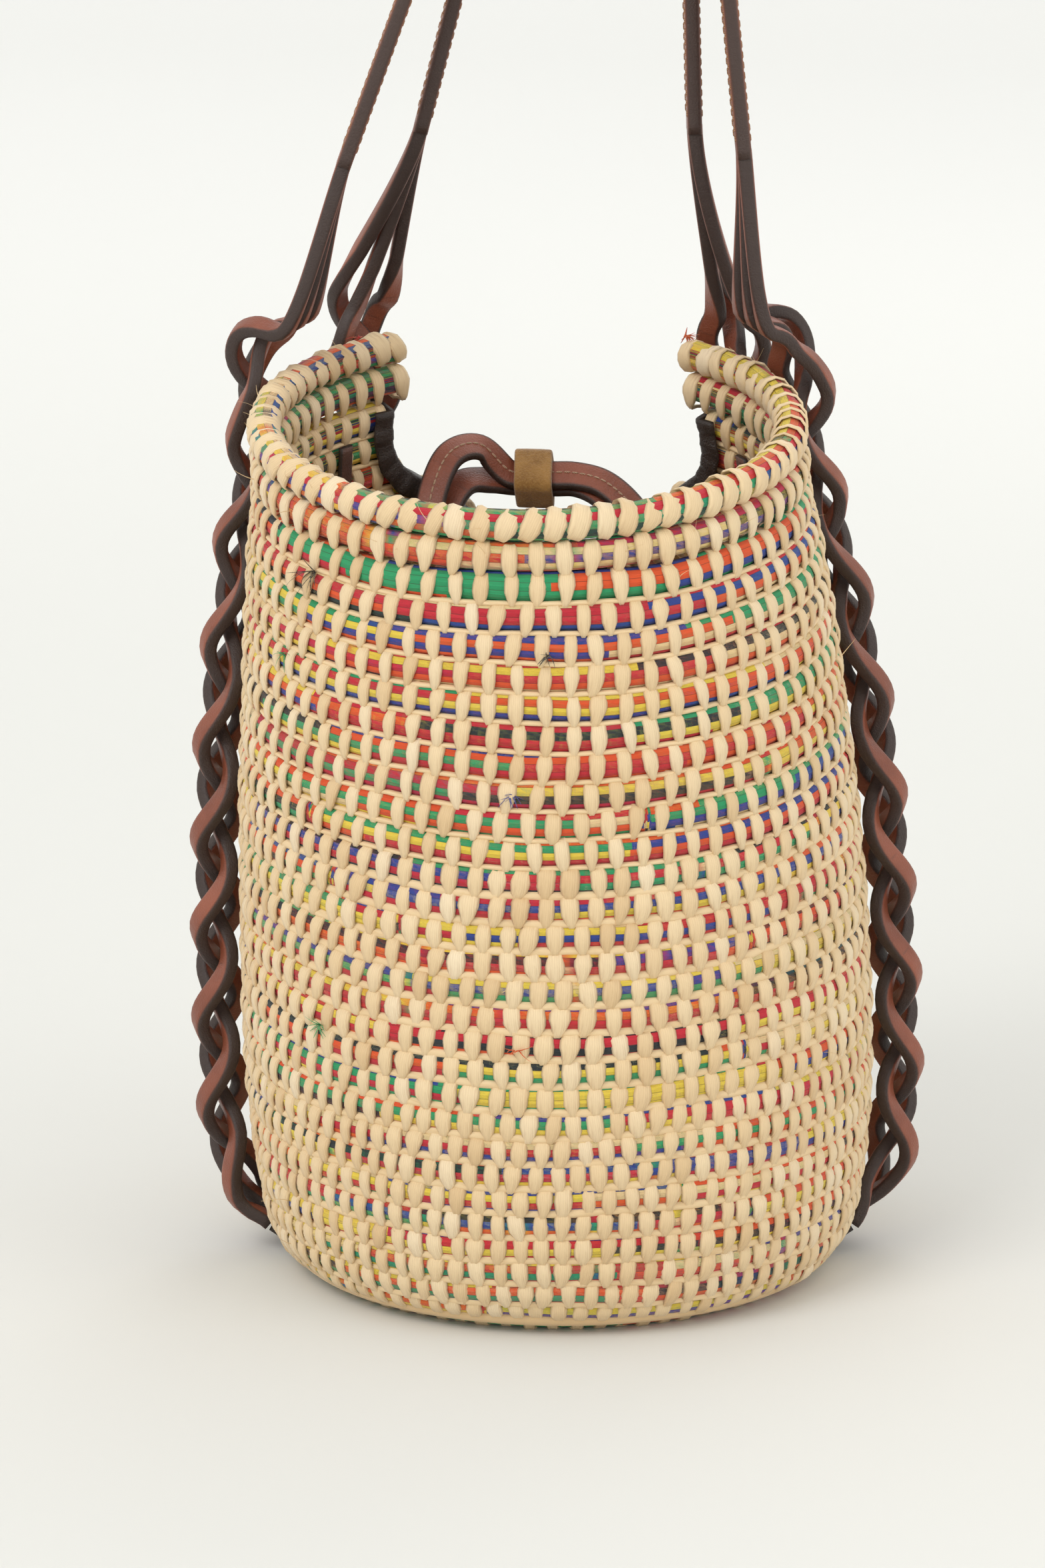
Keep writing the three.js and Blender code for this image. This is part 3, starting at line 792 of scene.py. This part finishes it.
wall = [r for r in ROWS if r[2] < WALL_ROWS]
under = [r for r in ROWS if r[2] >= BASE_ROW]
for name, rows, seed, spacing, size, nodes in (
        ("wall_wraps_upper", wall[:10], 1, 0.0084, (0.89, 1.0, 1.0), ["basket_wall"]),
        ("wall_wraps_middle", wall[10:19], 2, 0.0077, (1.02, 0.99, 0.98), []),
        ("wall_wraps_lower", wall[19:], 3, 0.0068, (0.95, 0.98, 0.96), []),
        ("base_wraps", under, 4, 0.0074, (0.9, 0.9, 0.9), ["basket_base"])):
    wind(WRAPS, name, rows, *nodes, family=wall_wraps, spacing=spacing, size=size, seed=seed,
         finish=WRAP)

# %% [markdown]
# ## The bundles inside the wraps
# Between the wraps the bundle shows. A second tree sweeps a round profile along the same rows and stores
# how far along the row and how far round the bundle each point is, so the finish can paint separate
# ribbons, with painted shade in the grooves between them. One more plain ring fills the corner where the
# wall turns under the base.

# %% The bundle tree
def bundle_tree():
    t = Tree("coil bundles", [("Height", "Float", 0.005), ("Depth", "Float", 0.0042),
                              ("Step", "Float", 0.005), ("Finish", "Material", None)])
    upright = t.add("GeometryNodeSetCurveNormal", {"mode": "Z_UP"}, ["Curve", t.spaced("Step")])
    marked = t.store(upright, "along", t.add("GeometryNodeSplineParameter", output=1))
    ring = t.add("GeometryNodeCurvePrimitiveCircle", None, ["Resolution", 12], ["Radius", 1.0])
    shape = t.add("ShaderNodeCombineXYZ", None, [0, t.input("Depth")], [1, t.input("Height")],
                  [2, 1.0])
    oval = t.add("GeometryNodeTransform", None, ["Geometry", ring], ["Scale", shape])
    shared = t.store(oval, "around", t.add("GeometryNodeSplineParameter", output=0))
    tube = t.add("GeometryNodeCurveToMesh", None, ["Curve", marked], ["Profile Curve", shared],
                 ["Fill Caps", True])
    smooth = t.add("GeometryNodeSetShadeSmooth", None, ["Geometry", tube])
    t.end(smooth, t.input("Finish"))
    return t


BUNDLES = bundle_tree()
wind(BUNDLES, "wall_bundles", wall, finish=CORE)
wind(BUNDLES, "base_bundles", under, height=0.0038, depth=0.0053, finish=CORE)
wider = 87.3 / FIRST_RING
corner = under[0][0] * [wider, wider, 1] + [0, 0, 2.3]
wind(BUNDLES, "corner_ring", [(corner, under[0][1], 50, True)], height=0.0036, depth=0.0045,
     finish=WRAP)

# %% [markdown]
# ## The seams between rows
# Where a row is sewn to the one below, the ribbons cross and make a thin, uneven, straw coloured cord in
# the groove, outside and inside. The cords get only the darker straw tones, painted shade for the groove
# they lie in. It is the same bundle tree with a thin profile.

# %% Seam cords
seams = []
for (line, out, k, whole), (below, *_) in zip(wall[:-1], wall[1:]):
    if len(line) != len(below):
        continue
    angles = np.arctan2(line[:, 1], line[:, 0])
    drop = (row_pitch[k] + row_pitch[k + 1]) / 4
    down = unit(np.stack([-np.cos(angles) * out[:, 2], -np.sin(angles) * out[:, 2],
                          np.hypot(out[:, 0], out[:, 1])], -1)) * -drop
    shake = rng.normal(0, 0.22, (len(line), 1))
    for depth in (2.5, -2.5):
        seams.append((line + down + out * (depth + shake), out, k, whole))
for name, part, height in (("upper_seams", [r for r in seams if r[2] < 10], 0.0009),
                           ("lower_seams", [r for r in seams if r[2] >= 10], 0.0016)):
    made = wind(BUNDLES, name, part, height=height, depth=0.0012, step=0.0045, finish=WRAP)
    # Tones between 0 and 0.35 give the cords the darker straw of the ramp: painted shade of the groove
    # on a real seam cord.
    made.data.attributes.new("tone", "FLOAT", "POINT").data.foreach_set(
        "value", rng.uniform(0, 0.35, len(made.data.vertices)).astype(np.float32))

# %% [markdown]
# ## The two top coils
# The rim is the thickest coil. Its wraps slant and almost cover the bundle. The coil under it is
# wrapped like the wall. Both stop at the notch, where their cut ends show.

# %% Rim and second coil
def top_line(radius, height, row):
    middle = math.pi / 2 + FRONT_TURN
    angles = middle - np.linspace(COIL_END, 2 * np.pi - COIL_END, ROW_STEPS)
    return (around(angles, radius, height), around(angles, 1.0, 0.0), row, False)


rim_row, second_row = top_line(86.5, 284.3, 60), top_line(86.8, 273.7, 61)
wind(WRAPS, "rim_wraps", [rim_row], "rim_coil", family=rim_wraps, spacing=0.0075,
     size=(1.1, 1.0, 1.0), tilt=-0.34, spread=0.12, seed=5, finish=WRAP)
wind(WRAPS, "second_wraps", [second_row], "second_coil", family=wall_wraps, spacing=0.0084,
     size=(1.02, 1.05, 1.04), seed=6, finish=WRAP)
wind(BUNDLES, "rim_bundle", [rim_row], height=0.0051, depth=0.0049, finish=CORE)
wind(BUNDLES, "second_bundle", [second_row], height=0.0049, depth=0.0044, finish=CORE)

# %% [markdown]
# ## Leather
# The plaits, handles and closure are smooth chestnut leather, cut in strips: the faces are red brown and
# slightly glossy, with a fine grain and a few creases across them, which are painted darker as shade in
# the folds, and the cut edges are almost black. A stored value called `edge` says how near a point is to
# the strip's edge.

# %% Leather finishes
def leather(name, face, light, dark, gloss=0.42, edge_from=0.72, grain=1.0):
    f = Finish(name, Roughness=gloss, Coat_Roughness=0.35)
    f.shader.inputs["Coat Weight"].default_value = 0.08
    uv, place, edge = f.uv(), f.place(), f.number("edge")
    cells = f.add("ShaderNodeTexVoronoi", {"feature": "DISTANCE_TO_EDGE"}, ["Vector", place],
                  ["Scale", 900.0], output=0)
    pores = cells.between(0.0, 0.22)
    cloud = f.noise(place, 38, 3, 0.6)
    crease = f.noise(f.stretch(uv, 420, 60, 1), 1.0, 2, 0.5)
    base = f.mix(cloud.between(0.35, 0.7), face, light)
    # The creases are mixed towards the dark edge colour: painted shade in the folds of the leather.
    crease_shaded = f.mix(crease.between(0.62, 0.8) * 0.35, base, dark)
    worn = f.mix(f.noise(place, 160, 2, 0.5).between(0.55, 0.75) * 0.3, crease_shaded, light)
    rim = edge.between(edge_from, min(edge_from + 0.2, 1.0))
    f.set("Base Color", f.mix(rim, worn, dark))
    f.set("Roughness", gloss + rim * 0.12 + cloud * 0.18 - 0.06)
    height = pores * 0.25 + crease * 0.5 + cloud * 0.3
    f.set("Normal", f.bump(height, 0.0005 * grain, 0.5))
    return f.material


CHESTNUT = leather("chestnut leather", rgb("7A3F2A"), rgb("925039"), rgb("3A2B26"))
STRAP = leather("handle leather", rgb("7B412C"), rgb("96553D"), rgb("41302A"), edge_from=0.88)
DARK = leather("dark binding leather", rgb("4A3B36"), rgb("6E5F5A"), rgb("2E2420"), gloss=0.36,
               edge_from=1.5, grain=1.6)
UNDER = leather("under strap leather", rgb("4A3028"), rgb("6A4536"), rgb("2A1F1B"))


def suede_finish():
    f = Finish("ochre suede", Roughness=0.95, Sheen_Weight=0.5, Sheen_Roughness=0.5)
    place = f.place()
    nap = f.noise(place, 1400, 3, 0.7)
    cloud = f.noise(place, 120, 3, 0.6)
    colour = f.mix(cloud.between(0.3, 0.7), rgb("80571F"), rgb("A3783B"))
    f.set("Base Color", f.mix(nap.between(0.3, 0.75) * 0.5, colour, rgb("B98F52")))
    f.set("Normal", f.bump(nap + cloud * 0.5, 0.0006, 0.7))
    return f.material


def thread_finish(name, colour, ply_shade):
    f = Finish(name, Roughness=0.7)
    twist = f.add("ShaderNodeTexWave", {"bands_direction": "DIAGONAL"}, ["Vector", f.place()],
                  ["Scale", 900.0], ["Distortion", 2.0], output=1)
    # The troughs of the twist bands take the darker colour: painted shade between the thread's plies.
    f.set("Base Color", f.mix(twist, rgb(ply_shade), rgb(colour)))
    f.set("Normal", f.bump(twist, 0.0002, 0.8))
    return f.material


SUEDE = suede_finish()
BEIGE_THREAD = thread_finish("beige thread", "D2B096", "9A7A5E")
TAN_THREAD = thread_finish("tan thread", "B98A62", "7E5A3C")

# %% [markdown]
# ## Plaits
# Each plait is three strips that cross from side to side, over and under. They come down from a slit
# handle strap, fan out, fold over the rim and end at the straps under the base. One strand is one sweep.
# The plaited run repeats the frame's own strand line, a little tighter and wider, and the free run above
# the rim joins it to the strap. The strands cross the handle's hinge.

# %% Strand lines
PLAIT_TOP, FOOT_RADIUS, FOOT_LIFT = 304.0, 86.0, 7.5
PLAIT_HALF, PLAIT_DEPTH, PERIODS = 10.1, 5.2, 3
PROUD = 5.4 + 4.5 / 2 + 0.9
BINDING_PROUD = 0.8 + 1.8
PLAITS = {
    "back_right": (1, 26, 7, 0.0, 0.0), "back_left": (-1, 26, 7, 0.0, 0.0),
    "front_right": (1, 52, 52, FRONT_TURN, BINDING_PROUD),
    "front_left": (-1, 52, 52, FRONT_TURN, BINDING_PROUD),
}


def smoothstep(x):
    x = np.clip(x, 0, 1)
    return x * x * (3 - 2 * x)


def plaited(t, run=0.1):
    rise = t * t / (2 * run * (1 - run))
    fall = 1 - (1 - t) ** 2 / (2 * run * (1 - run))
    return np.where(t < run, rise, np.where(t > 1 - run, fall, (t - run / 2) / (1 - run)))


def plait_angle(plait, height):
    side, top, low, turn, _ = PLAITS[plait]
    x = np.clip((height - 130) / (PLAIT_TOP - 130), 0, 1)
    share = x ** 3 * (x * (x * 6 - 15) + 10)
    angle = np.radians(low + (top - low) * share)
    return turn + (angle if side > 0 else math.pi - angle)


def strand_line(plait, index, count=150):
    """The plaited run of a strand and the way its face looks, upright, from the top down."""
    over = PLAITS[plait][4]
    profile = [(FOOT_RADIUS, PLAIT_TOP), (95, 301.5), (101 + over, 294), (102.6 + over, 282),
               (101 + over, 266), (97 + PROUD + over, 228), (103 + PROUD, 160),
               (106.5 + PROUD, 95), (106.5 + PROUD, 55), (113.5, 36), (107.5, 20), (98.2, 9.8)]
    line = Path(profile)
    t = np.linspace(0, 1, count)
    turn = 2 * math.pi * (PERIODS * plaited(t) + index / 3)
    middle, along = line.at(t), line.along(t)
    fade = smoothstep(np.minimum(t, 1 - t) / 0.05)
    sideways = PLAIT_HALF * np.sin(turn)
    outwards = -PLAIT_DEPTH * np.sin(2 * turn) * fade
    radius = middle[:, 0] - along[:, 1] * outwards
    height = middle[:, 1] + along[:, 0] * outwards
    angle = plait_angle(plait, middle[:, 1])
    cos, sin = np.cos(angle), np.sin(angle)
    points = np.stack([radius * cos - sideways * sin, radius * sin + sideways * cos, height], -1)
    up = np.clip((height - 285) / 19, 0, 1)
    down = np.clip((40 - height) / 30, 0, 1)
    roll = 0.85 * np.sin(turn) * smoothstep(np.minimum(t, 1 - t) / 0.06)
    facing = np.stack([cos - roll * sin, sin + roll * cos, 1.4 * up - 1.3 * down], -1)
    return hang(points), unit(facing)


# %% Handle lines
HANDLE_TOP, HANDLE_X, TOP_RADIUS = 602.0, 24.0, 16.0
HANDLES = {"back": (26, 0.0, 41.0), "front": (52, FRONT_TURN, 64.0)}


def handle_line(which):
    angle, turn, top_y = HANDLES[which]

    def foot(a):
        return hang([FOOT_RADIUS * math.cos(a), FOOT_RADIUS * math.sin(a), PLAIT_TOP]) + [
            0, 0, FOOT_LIFT]

    right, left = foot(turn + math.radians(angle)), foot(turn + math.pi - math.radians(angle))
    crown = HANDLE_TOP - 2.5

    def shoulder(side):
        return np.array([HANDLE_X + side * TOP_RADIUS, top_y, crown - 1.3 * TOP_RADIUS])

    def leg(start, end):
        return [start + (end - start) * s for s in (0, 0.25, 0.5, 0.75, 0.93)]

    return Path([*leg(left, shoulder(-1)), shoulder(-1), (HANDLE_X - 8, top_y, crown - 4),
                 (HANDLE_X, top_y, crown), (HANDLE_X + 8, top_y, crown - 4), shoulder(1),
                 *leg(right, shoulder(1))[::-1]])


SLIT = 52.0  # how far above the fold the strap is slit into three
CROWN_FROM = 572.0  # the height from which a strap turns its face up


def handle_facing(path):
    return unit(np.stack([path[:, 0] - HANDLE_X, np.zeros(len(path)),
                          np.clip(path[:, 2] - CROWN_FROM, 0, None)], -1))


lines = {k: handle_line(k) for k in HANDLES}
for which, line in lines.items():
    inset = (SLIT - 3) / line.length
    shares = np.linspace(inset, 1 - inset, 150)
    path = line.at(shares)
    made = strip(f"{which}_handle_strap", path, handle_facing(path),
                 rounded(4.8, 22, 1.3, 0.25), STRAP, hung=False)
    finished(made, f"{which}_handle", "handle_leather", f"{which}_handle")

# %% Make the twelve strands
def eased(start, start_way, end, end_way, count):
    """A curve from start to end with the given directions at its ends, without its last point."""
    t = np.linspace(0, 1, count, endpoint=False)[:, None]
    return (start * (2 * t ** 3 - 3 * t ** 2 + 1) + start_way * (t ** 3 - 2 * t ** 2 + t)
            + end * (3 * t ** 2 - 2 * t ** 3) + end_way * (t ** 3 - t ** 2))


STRAND_STEPS, FREE_STEPS = 190, 46
INSIDE_RIM = 9  # points of the fold that the front strands, outside the rim, leave out
strand_section = rounded(4.6, 7.4, 1.3, 0.25)
for plait in PLAITS:
    which = "back" if plait.startswith("back") else "front"
    left = plait.endswith("left")
    line = lines[which]
    share = SLIT / line.length
    slit, way = (line.at(share), line.along(share)) if left else (
        line.at(1 - share), -line.along(1 - share))
    runs = [strand_line(plait, index) for index in range(3)]
    order = np.argsort([line_points[0][1] for line_points, _ in runs])
    for place, index in enumerate(order):
        points, facing = runs[index]
        if which == "front":  # the front strands go straight down outside the rim
            points, facing = points[INSIDE_RIM:], facing[INSIDE_RIM:]
        third = (place - 1) * 7.2
        top = slit + [0, third, 0]
        head = points[0]
        rise = (top - head)[2]
        free = eased(top, -way * rise, head, unit(points[1] - points[0]) * 16, 17)
        whole = Path([*free, *points], per=4)
        shares = np.concatenate([np.linspace(0, 0.2, FREE_STEPS, endpoint=False),
                                 np.linspace(0.2, 1, STRAND_STEPS - FREE_STEPS)])
        path = whole.at(shares)
        side_way = np.array([-1.0 if left else 1.0, 0, 0])
        first = np.clip((path[:, 2] - head[2] + 6) / 22, 0, 1)[:, None]
        nearest = np.linalg.norm(path[:, None] - points[None], axis=2).argmin(1)
        look = unit(facing[nearest] * (1 - first) + side_way * first)
        wide = np.clip((path[:, 2] - head[2] - rise * 0.4) / (rise * 0.5), 0, 1)
        scale = np.stack([1 + 0.03 * wide, 1 - 0.11 * wide], -1)
        made = strip(f"{plait}_plait_strand_{index + 1}", path, look, strand_section, CHESTNUT,
                     scale=scale, hung=False)
        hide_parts(f"{plait}_strand_{index + 1}")
        spot = (points[0] * 0.001 + SHIFT).tolist()
        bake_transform(made)
print("twelve strands are plaited")

# %% [markdown]
# ## Straps under the base
# Two dark straps run across the underside and turn up at the edge, and the plaits are stitched to
# them. They follow the frame's line in the room that the pressed rows leave.

# %% Under straps
for which, line in strap_lines.items():
    path = line.at(np.linspace(0, 1, 120))
    radial = unit(path * [1, 1, 0])
    turn = np.clip((path[:, 2] - 2) / 18, 0, 1) * math.pi / 2
    facing = radial * np.sin(turn)[:, None]
    facing[:, 2] = -np.cos(turn)
    made = strip(f"{which}_base_strap", path, facing, rounded(4.2, 22, 1.4, 0.0), UNDER)
    finished(made, "basket", "dark_leather", f"{which}_under_strap")

# %% [markdown]
# ## The binding of the notch
# A folded strip of thin dark leather covers the cut ends of the wall's rows round the notch. It is
# put on by hand, so its section swells and narrows a little along the line. A few wraps at the
# rows' ends still reach through it.

# %% Binding
keep = NOTCH.at(np.linspace(0, 1, 160))
keep = keep[keep[:, 1] < 267.4][::-1]
radius = wall_radius(keep[:, 1]) - 4.5
angle = math.pi / 2 + FRONT_TURN - keep[:, 0] / UNROLLED
path = Path(around(angle, radius, keep[:, 1]), smooth=False).at(np.linspace(0, 1, 200))
channel = np.array([
    (-7.1, -0.6), (-6.6, -1.6), (-5.4, -2.1), (0, -2.3), (5.4, -2.1), (6.6, -1.6), (7.1, -0.6),
    (7.15, 2.5), (6.9, 5.2), (6.3, 6.0), (5.6, 5.6), (5.3, 4.8), (5.3, -0.3), (-5.3, -0.3),
    (-5.3, 4.8), (-5.6, 5.6), (-6.3, 6.0), (-6.9, 5.2), (-7.15, 2.5)])
s = np.arange(200)
swell = np.stack([1 + 0.035 * np.sin(s * 0.9) + 0.02 * np.sin(s * 2.3),
                  1 + 0.05 * np.sin(s * 0.63 + 1)], -1)
made = strip("notch_edge_binding", path, unit(path * [1, 1, 0]), channel, DARK, scale=swell)
finished(made, "basket", "dark_leather", "notch_binding")

# %% [markdown]
# ## The closure
# Two narrow straps rise from suede tabs inside the notch, cross it in an arch, and pass together
# through a loop of ochre suede that slides along them.

# %% Closure straps, keeper, tabs and strips
TILT = math.radians(35)
TIE_NORMAL = np.array([0, -math.sin(TILT), math.cos(TILT)])
TIE_WIDTH, TIE_THICK = 10, 2.8
TIE_STACK, KEEPER_X, TIE_Y, TIE_Z = TIE_THICK / 2 + 0.45, -7.0, 86.0, 237.0
KEEPER_GAP = 0.8 + 1.2  # from a closure strap to the middle of the keeper's suede
run = [(-15, TIE_Y, TIE_Z), (-7, TIE_Y, TIE_Z), (0, TIE_Y, TIE_Z), (7, TIE_Y, TIE_Z)]
TIES = {
    "upper": ([(-42, 58, 224), (-40, 65, 237), (-34, 75, 246.5), (-25, 83, 246.5), *run,
               (17, 82, 236), (27, 74, 230.5), (35, 62, 221)], TIE_STACK),
    "lower": ([(-41, 58, 215), (-38.5, 64, 228.5), (-31, 74, 239.5), (-23, 82, 238.5), *run,
               (16, 81, 235), (25, 72, 228), (33, 61, 215)], -TIE_STACK),
}


def turned(points, angle=FRONT_TURN):
    c, s = math.cos(angle), math.sin(angle)
    return np.asarray(points, float) @ np.array([[c, s, 0], [-s, c, 0], [0, 0, 1]])


tie_paths = {}
for which, (points, offset) in TIES.items():
    path = turned(Path(np.array(points) + TIE_NORMAL * offset).at(np.linspace(0, 1, 90)))
    tie_paths[which] = path
    made = strip(f"{which}_tie", path, turned(TIE_NORMAL[None])[0],
                 rounded(TIE_THICK, TIE_WIDTH, 0.9, 0.2), CHESTNUT)
    finished(made, "basket", "handle_leather", f"{which}_closure_strap")

across = np.array([0, math.cos(TILT), math.sin(TILT)])
centre = np.array([KEEPER_X, TIE_Y, TIE_Z])
outline = round_box(TIE_WIDTH / 2 + KEEPER_GAP, TIE_STACK + 1.4 + KEEPER_GAP, 1.8, 5)
loop = np.array([centre + across * x + TIE_NORMAL * y for x, y in outline])
made = strip("keeper_ring", turned(loop), unit(turned(loop - centre)),
             rounded(2.3, 13, 0.9, 0.15), SUEDE, closed=True)
finished(made, "keeper", "suede", "keeper_loop")

for side, name in ((1, "right"), (-1, "left")):
    height = 207.0
    radius = wall_radius(height) - 9 - 2.2 - 2.4 + 1.1
    start = 90 + math.degrees(FRONT_TURN) + (-27 if side > 0 else 43)
    angle = np.radians(np.linspace(start, start - 16, 24))
    path = around(angle, radius, height)
    made = strip(f"{name}_suede_tab", path, unit(path * [1, 1, 0]), rounded(2.1, 24, 0.9), SUEDE)
    finished(made, "basket", "suede", f"closure_tab_{name}")
    heights = np.linspace(205, 258, 30)
    radius = wall_radius(heights) - 9 - 0.9 - 0.6
    a = math.radians(90 + math.degrees(FRONT_TURN) - side * 54)
    path = np.stack([radius * math.cos(a), radius * math.sin(a), heights], -1)
    made = strip(f"{name}_inside_strip", path, unit(path * [1, 1, 0]), rounded(1.8, 6, 0.8),
                 UNDER)
    finished(made, "basket", "dark_leather", f"inside_strip_{name}")

# %% [markdown]
# ## Stitches
# The handle straps are sewn along both edges, and the upper closure strap along its middle. A
# stitch is a short pinched lozenge of thread. The tree lays stitches end to end along any line, a
# given pitch apart, standing slightly proud of the leather.

# %% Stitches
def stitch_mesh():
    rows = [(-1.0, 0.25), (-0.6, 0.9), (0.6, 0.9), (1.0, 0.25)]
    points = [(x, r * math.cos(a), r * math.sin(a)) for x, r in rows
              for a in np.linspace(0, 2 * math.pi, 6, endpoint=False)]
    faces = [(i * 6 + k, i * 6 + (k + 1) % 6, (i + 1) * 6 + (k + 1) % 6, (i + 1) * 6 + k)
             for i in range(3) for k in range(6)]
    faces += [tuple(range(5, -1, -1)), tuple(range(18, 24))]
    mesh = bpy.data.meshes.new("stitch")
    mesh.from_pydata(points, [], [f[::-1] for f in faces])
    mesh.update()
    return bpy.data.objects.new("stitch", mesh)


def stitch_tree():
    t = Tree("stitches", [("Stitch", "Object", None), ("Pitch", "Float", 0.003),
                          ("Length", "Float", 0.0011), ("Thread", "Float", 0.00035),
                          ("Finish", "Material", None)])
    points = t.spaced("Pitch")
    way = t.add("FunctionNodeAlignRotationToVector", {"axis": "X"},
                ["Vector", t.add("GeometryNodeInputTangent")])
    thing = t.add("GeometryNodeObjectInfo", None, ["Object", t.input("Stitch")], output=4)
    size = t.add("ShaderNodeCombineXYZ", None, [0, t.input("Length")], [1, t.input("Thread")],
                 [2, t.input("Thread")])
    copies = t.add("GeometryNodeInstanceOnPoints", None, ["Points", points],
                   ["Instance", thing], ["Rotation", way], ["Scale", size])
    t.end(copies, t.input("Finish"))
    return t


STITCH, STITCHES = stitch_mesh(), stitch_tree()


def sew(name, paths, finish, body, finish_slot, **values):
    """Lays stitches along paths, given in the basket's own place in millimetres."""
    points, edges = [], []
    for path in paths:
        first = len(points)
        points += list(np.asarray(path))
        edges += [(first + i, first + i + 1) for i in range(len(path) - 1)]
    mesh = bpy.data.meshes.new(name)
    mesh.from_pydata((np.array(points) * 0.001 + SHIFT).tolist(), edges, [])
    carrier = bpy.data.objects.new(name + "_line", mesh)
    scene.collection.objects.link(carrier)
    made = STITCHES.apply(carrier, name, stitch=STITCH, finish=finish, **values)
    finished(made, body, finish_slot)


def beside(path, facing, out, over):
    """A line on a strip's face: out along its facing, over across it."""
    tangent = unit(np.gradient(path, axis=0))
    normal = unit(facing - tangent * (facing * tangent).sum(1, keepdims=True))
    return path + normal * out + np.cross(tangent, normal) * over


sew("tie_stitches", [hang(beside(tie_paths["upper"][6:-6],
                                 np.broadcast_to(turned(TIE_NORMAL[None])[0], (78, 3)), 1.62,
                                 0.0))],
    BEIGE_THREAD, "basket", "handle_leather", pitch=0.0027, length=0.00115, thread=0.0004)
for which, line in lines.items():
    inset = (SLIT + 4) / line.length
    path = line.at(np.linspace(inset, 1 - inset, 200))
    sew(f"{which}_handle_stitches", [beside(path, handle_facing(path), out, over)
                                     for out in (2.45, -2.4) for over in (-9.2, 9.2)],
        TAN_THREAD, f"{which}_handle", "handle_leather", pitch=0.0034, length=0.0013,
        thread=0.00042)

# %% [markdown]
# ## Loose ends
# Raffia frays. Short curved whiskers stand off the rim and the rows here and there, and a few dyed
# ends were knotted off and left as small tufts. A whisker is a thin three-sided taper; the tree
# scatters copies of it along the rows, turned at random.

# %% Whiskers and tufts
def whisker_points(start, way, bend, length, thick, steps=5):
    points, faces = [], []
    side = unit(np.cross(way, [0.3, 0.2, 0.93]))
    other = np.cross(way, side)
    for i in range(steps + 1):
        t = i / steps
        centre = start + way * length * t + bend * length * t * t
        r = thick * (1 - 0.75 * t)
        for a in (0, 2.1, 4.2):
            points.append(centre + side * r * math.cos(a) + other * r * math.sin(a) * 0.4)
    for i in range(steps):
        for k in range(3):
            l = (k + 1) % 3
            faces.append((i * 3 + k, i * 3 + l, i * 3 + 3 + l, i * 3 + 3 + k))
    faces += [(2, 1, 0), (steps * 3, steps * 3 + 1, steps * 3 + 2)]
    return points, faces


def whisker_tree():
    t = Tree("whiskers", [("Whisker", "Object", None), ("Spacing", "Float", 0.012),
                          ("Seed", "Int", 0), ("Finish", "Material", None)])
    points = t.spaced("Spacing")
    chance = t.add("FunctionNodeRandomValue", {"data_type": "BOOLEAN"}, ["Probability", 0.35],
                   ["Seed", t.input("Seed")], output=3)
    turn, size = t.random((-1.4, -1.4, 0), (1.4, 1.4, 6.28)), t.random(0.4, 1.1)
    thing = t.add("GeometryNodeObjectInfo", None, ["Object", t.input("Whisker")], output=4)
    copies = t.add("GeometryNodeInstanceOnPoints", None, ["Points", points],
                   ["Selection", chance], ["Instance", thing],
                   ["Rotation", t.add("FunctionNodeEulerToRotation", None, [0, turn])],
                   ["Scale", size])
    t.end(copies, t.input("Finish"))
    return t


whisker = bpy.data.objects.new("whisker", bpy.data.meshes.new("whisker"))
points, faces = whisker_points(np.zeros(3), np.array([0, 0, 1.0]), np.array([0.35, 0.1, 0]), 8.5,
                               0.26)
whisker.data.from_pydata((np.array(points) * 0.001).tolist(), [], faces)
WHISKERS = whisker_tree()
skin = [(line + out * 4.0, out, k, whole) for line, out, k, whole in
        [rim_row, second_row, *wall[::2]]]
for name, rows, spacing, seed in (("rim_whiskers", skin[:2], 0.006, 11),
                                  ("wall_whiskers", skin[2:], 0.055, 12)):
    wind(WHISKERS, name, rows, whisker=whisker, spacing=spacing, seed=seed, finish=WRAP)

TUFTS = [  # angle round the basket in degrees, height, threads, length, colour
    (-139, 258, 11, 12, "1E262C"), (-96, 196, 12, 5, "233F93"), (-137, 105, 10, 6, "249A62"),
    (-88, 243, 8, 5, "2A3440"), (51, 290, 14, 6, "E2531E"), (-97, 108, 7, 5, "E2531E"),
    (-148, 226, 7, 6, "249A62"), (131, 290, 7, 5, "B9242E"),
]
for number, (degrees, height, threads, length, colour) in enumerate(TUFTS):
    dye = Finish(f"dyed raffia {number + 1}", Roughness=0.6)
    streak = dye.noise(dye.place(), 900, 2, 0.6)
    dye.set("Base Color", dye.mix(streak.between(0.3, 0.8) * 0.35, rgb(colour), rgb("E6C994")))
    dye.set("Normal", dye.bump(streak, 0.0003, 0.6))
    a = math.radians(degrees)
    out = np.array([math.cos(a), math.sin(a), 0.0])
    reach = 86.5 if height > 286 else wall_radius(height) - 0.4
    root = hang(out * [reach, reach, 1] + [0, 0, height])
    side = np.array([-out[1], out[0], 0])
    points, faces = [], []
    for _ in range(threads):
        way = unit(out * rng.uniform(0.3, 0.9) + side * rng.uniform(-1, 1)
                   + [0, 0, rng.uniform(-0.8, 0.6)])
        bend = -out * 0.25 + side * rng.uniform(-0.3, 0.3) + [0, 0, rng.uniform(-0.5, 0.1)]
        p, f = whisker_points(root + side * rng.uniform(-1.2, 1.2), way, bend,
                              length * rng.uniform(0.6, 1.1), 0.45)
        faces += [tuple(v + len(points) for v in face) for face in f]
        points += p
    made = mesh_object(f"dyed_tuft_{number + 1}", points, faces, dye.material)
    finished(made, "basket", "raffia")
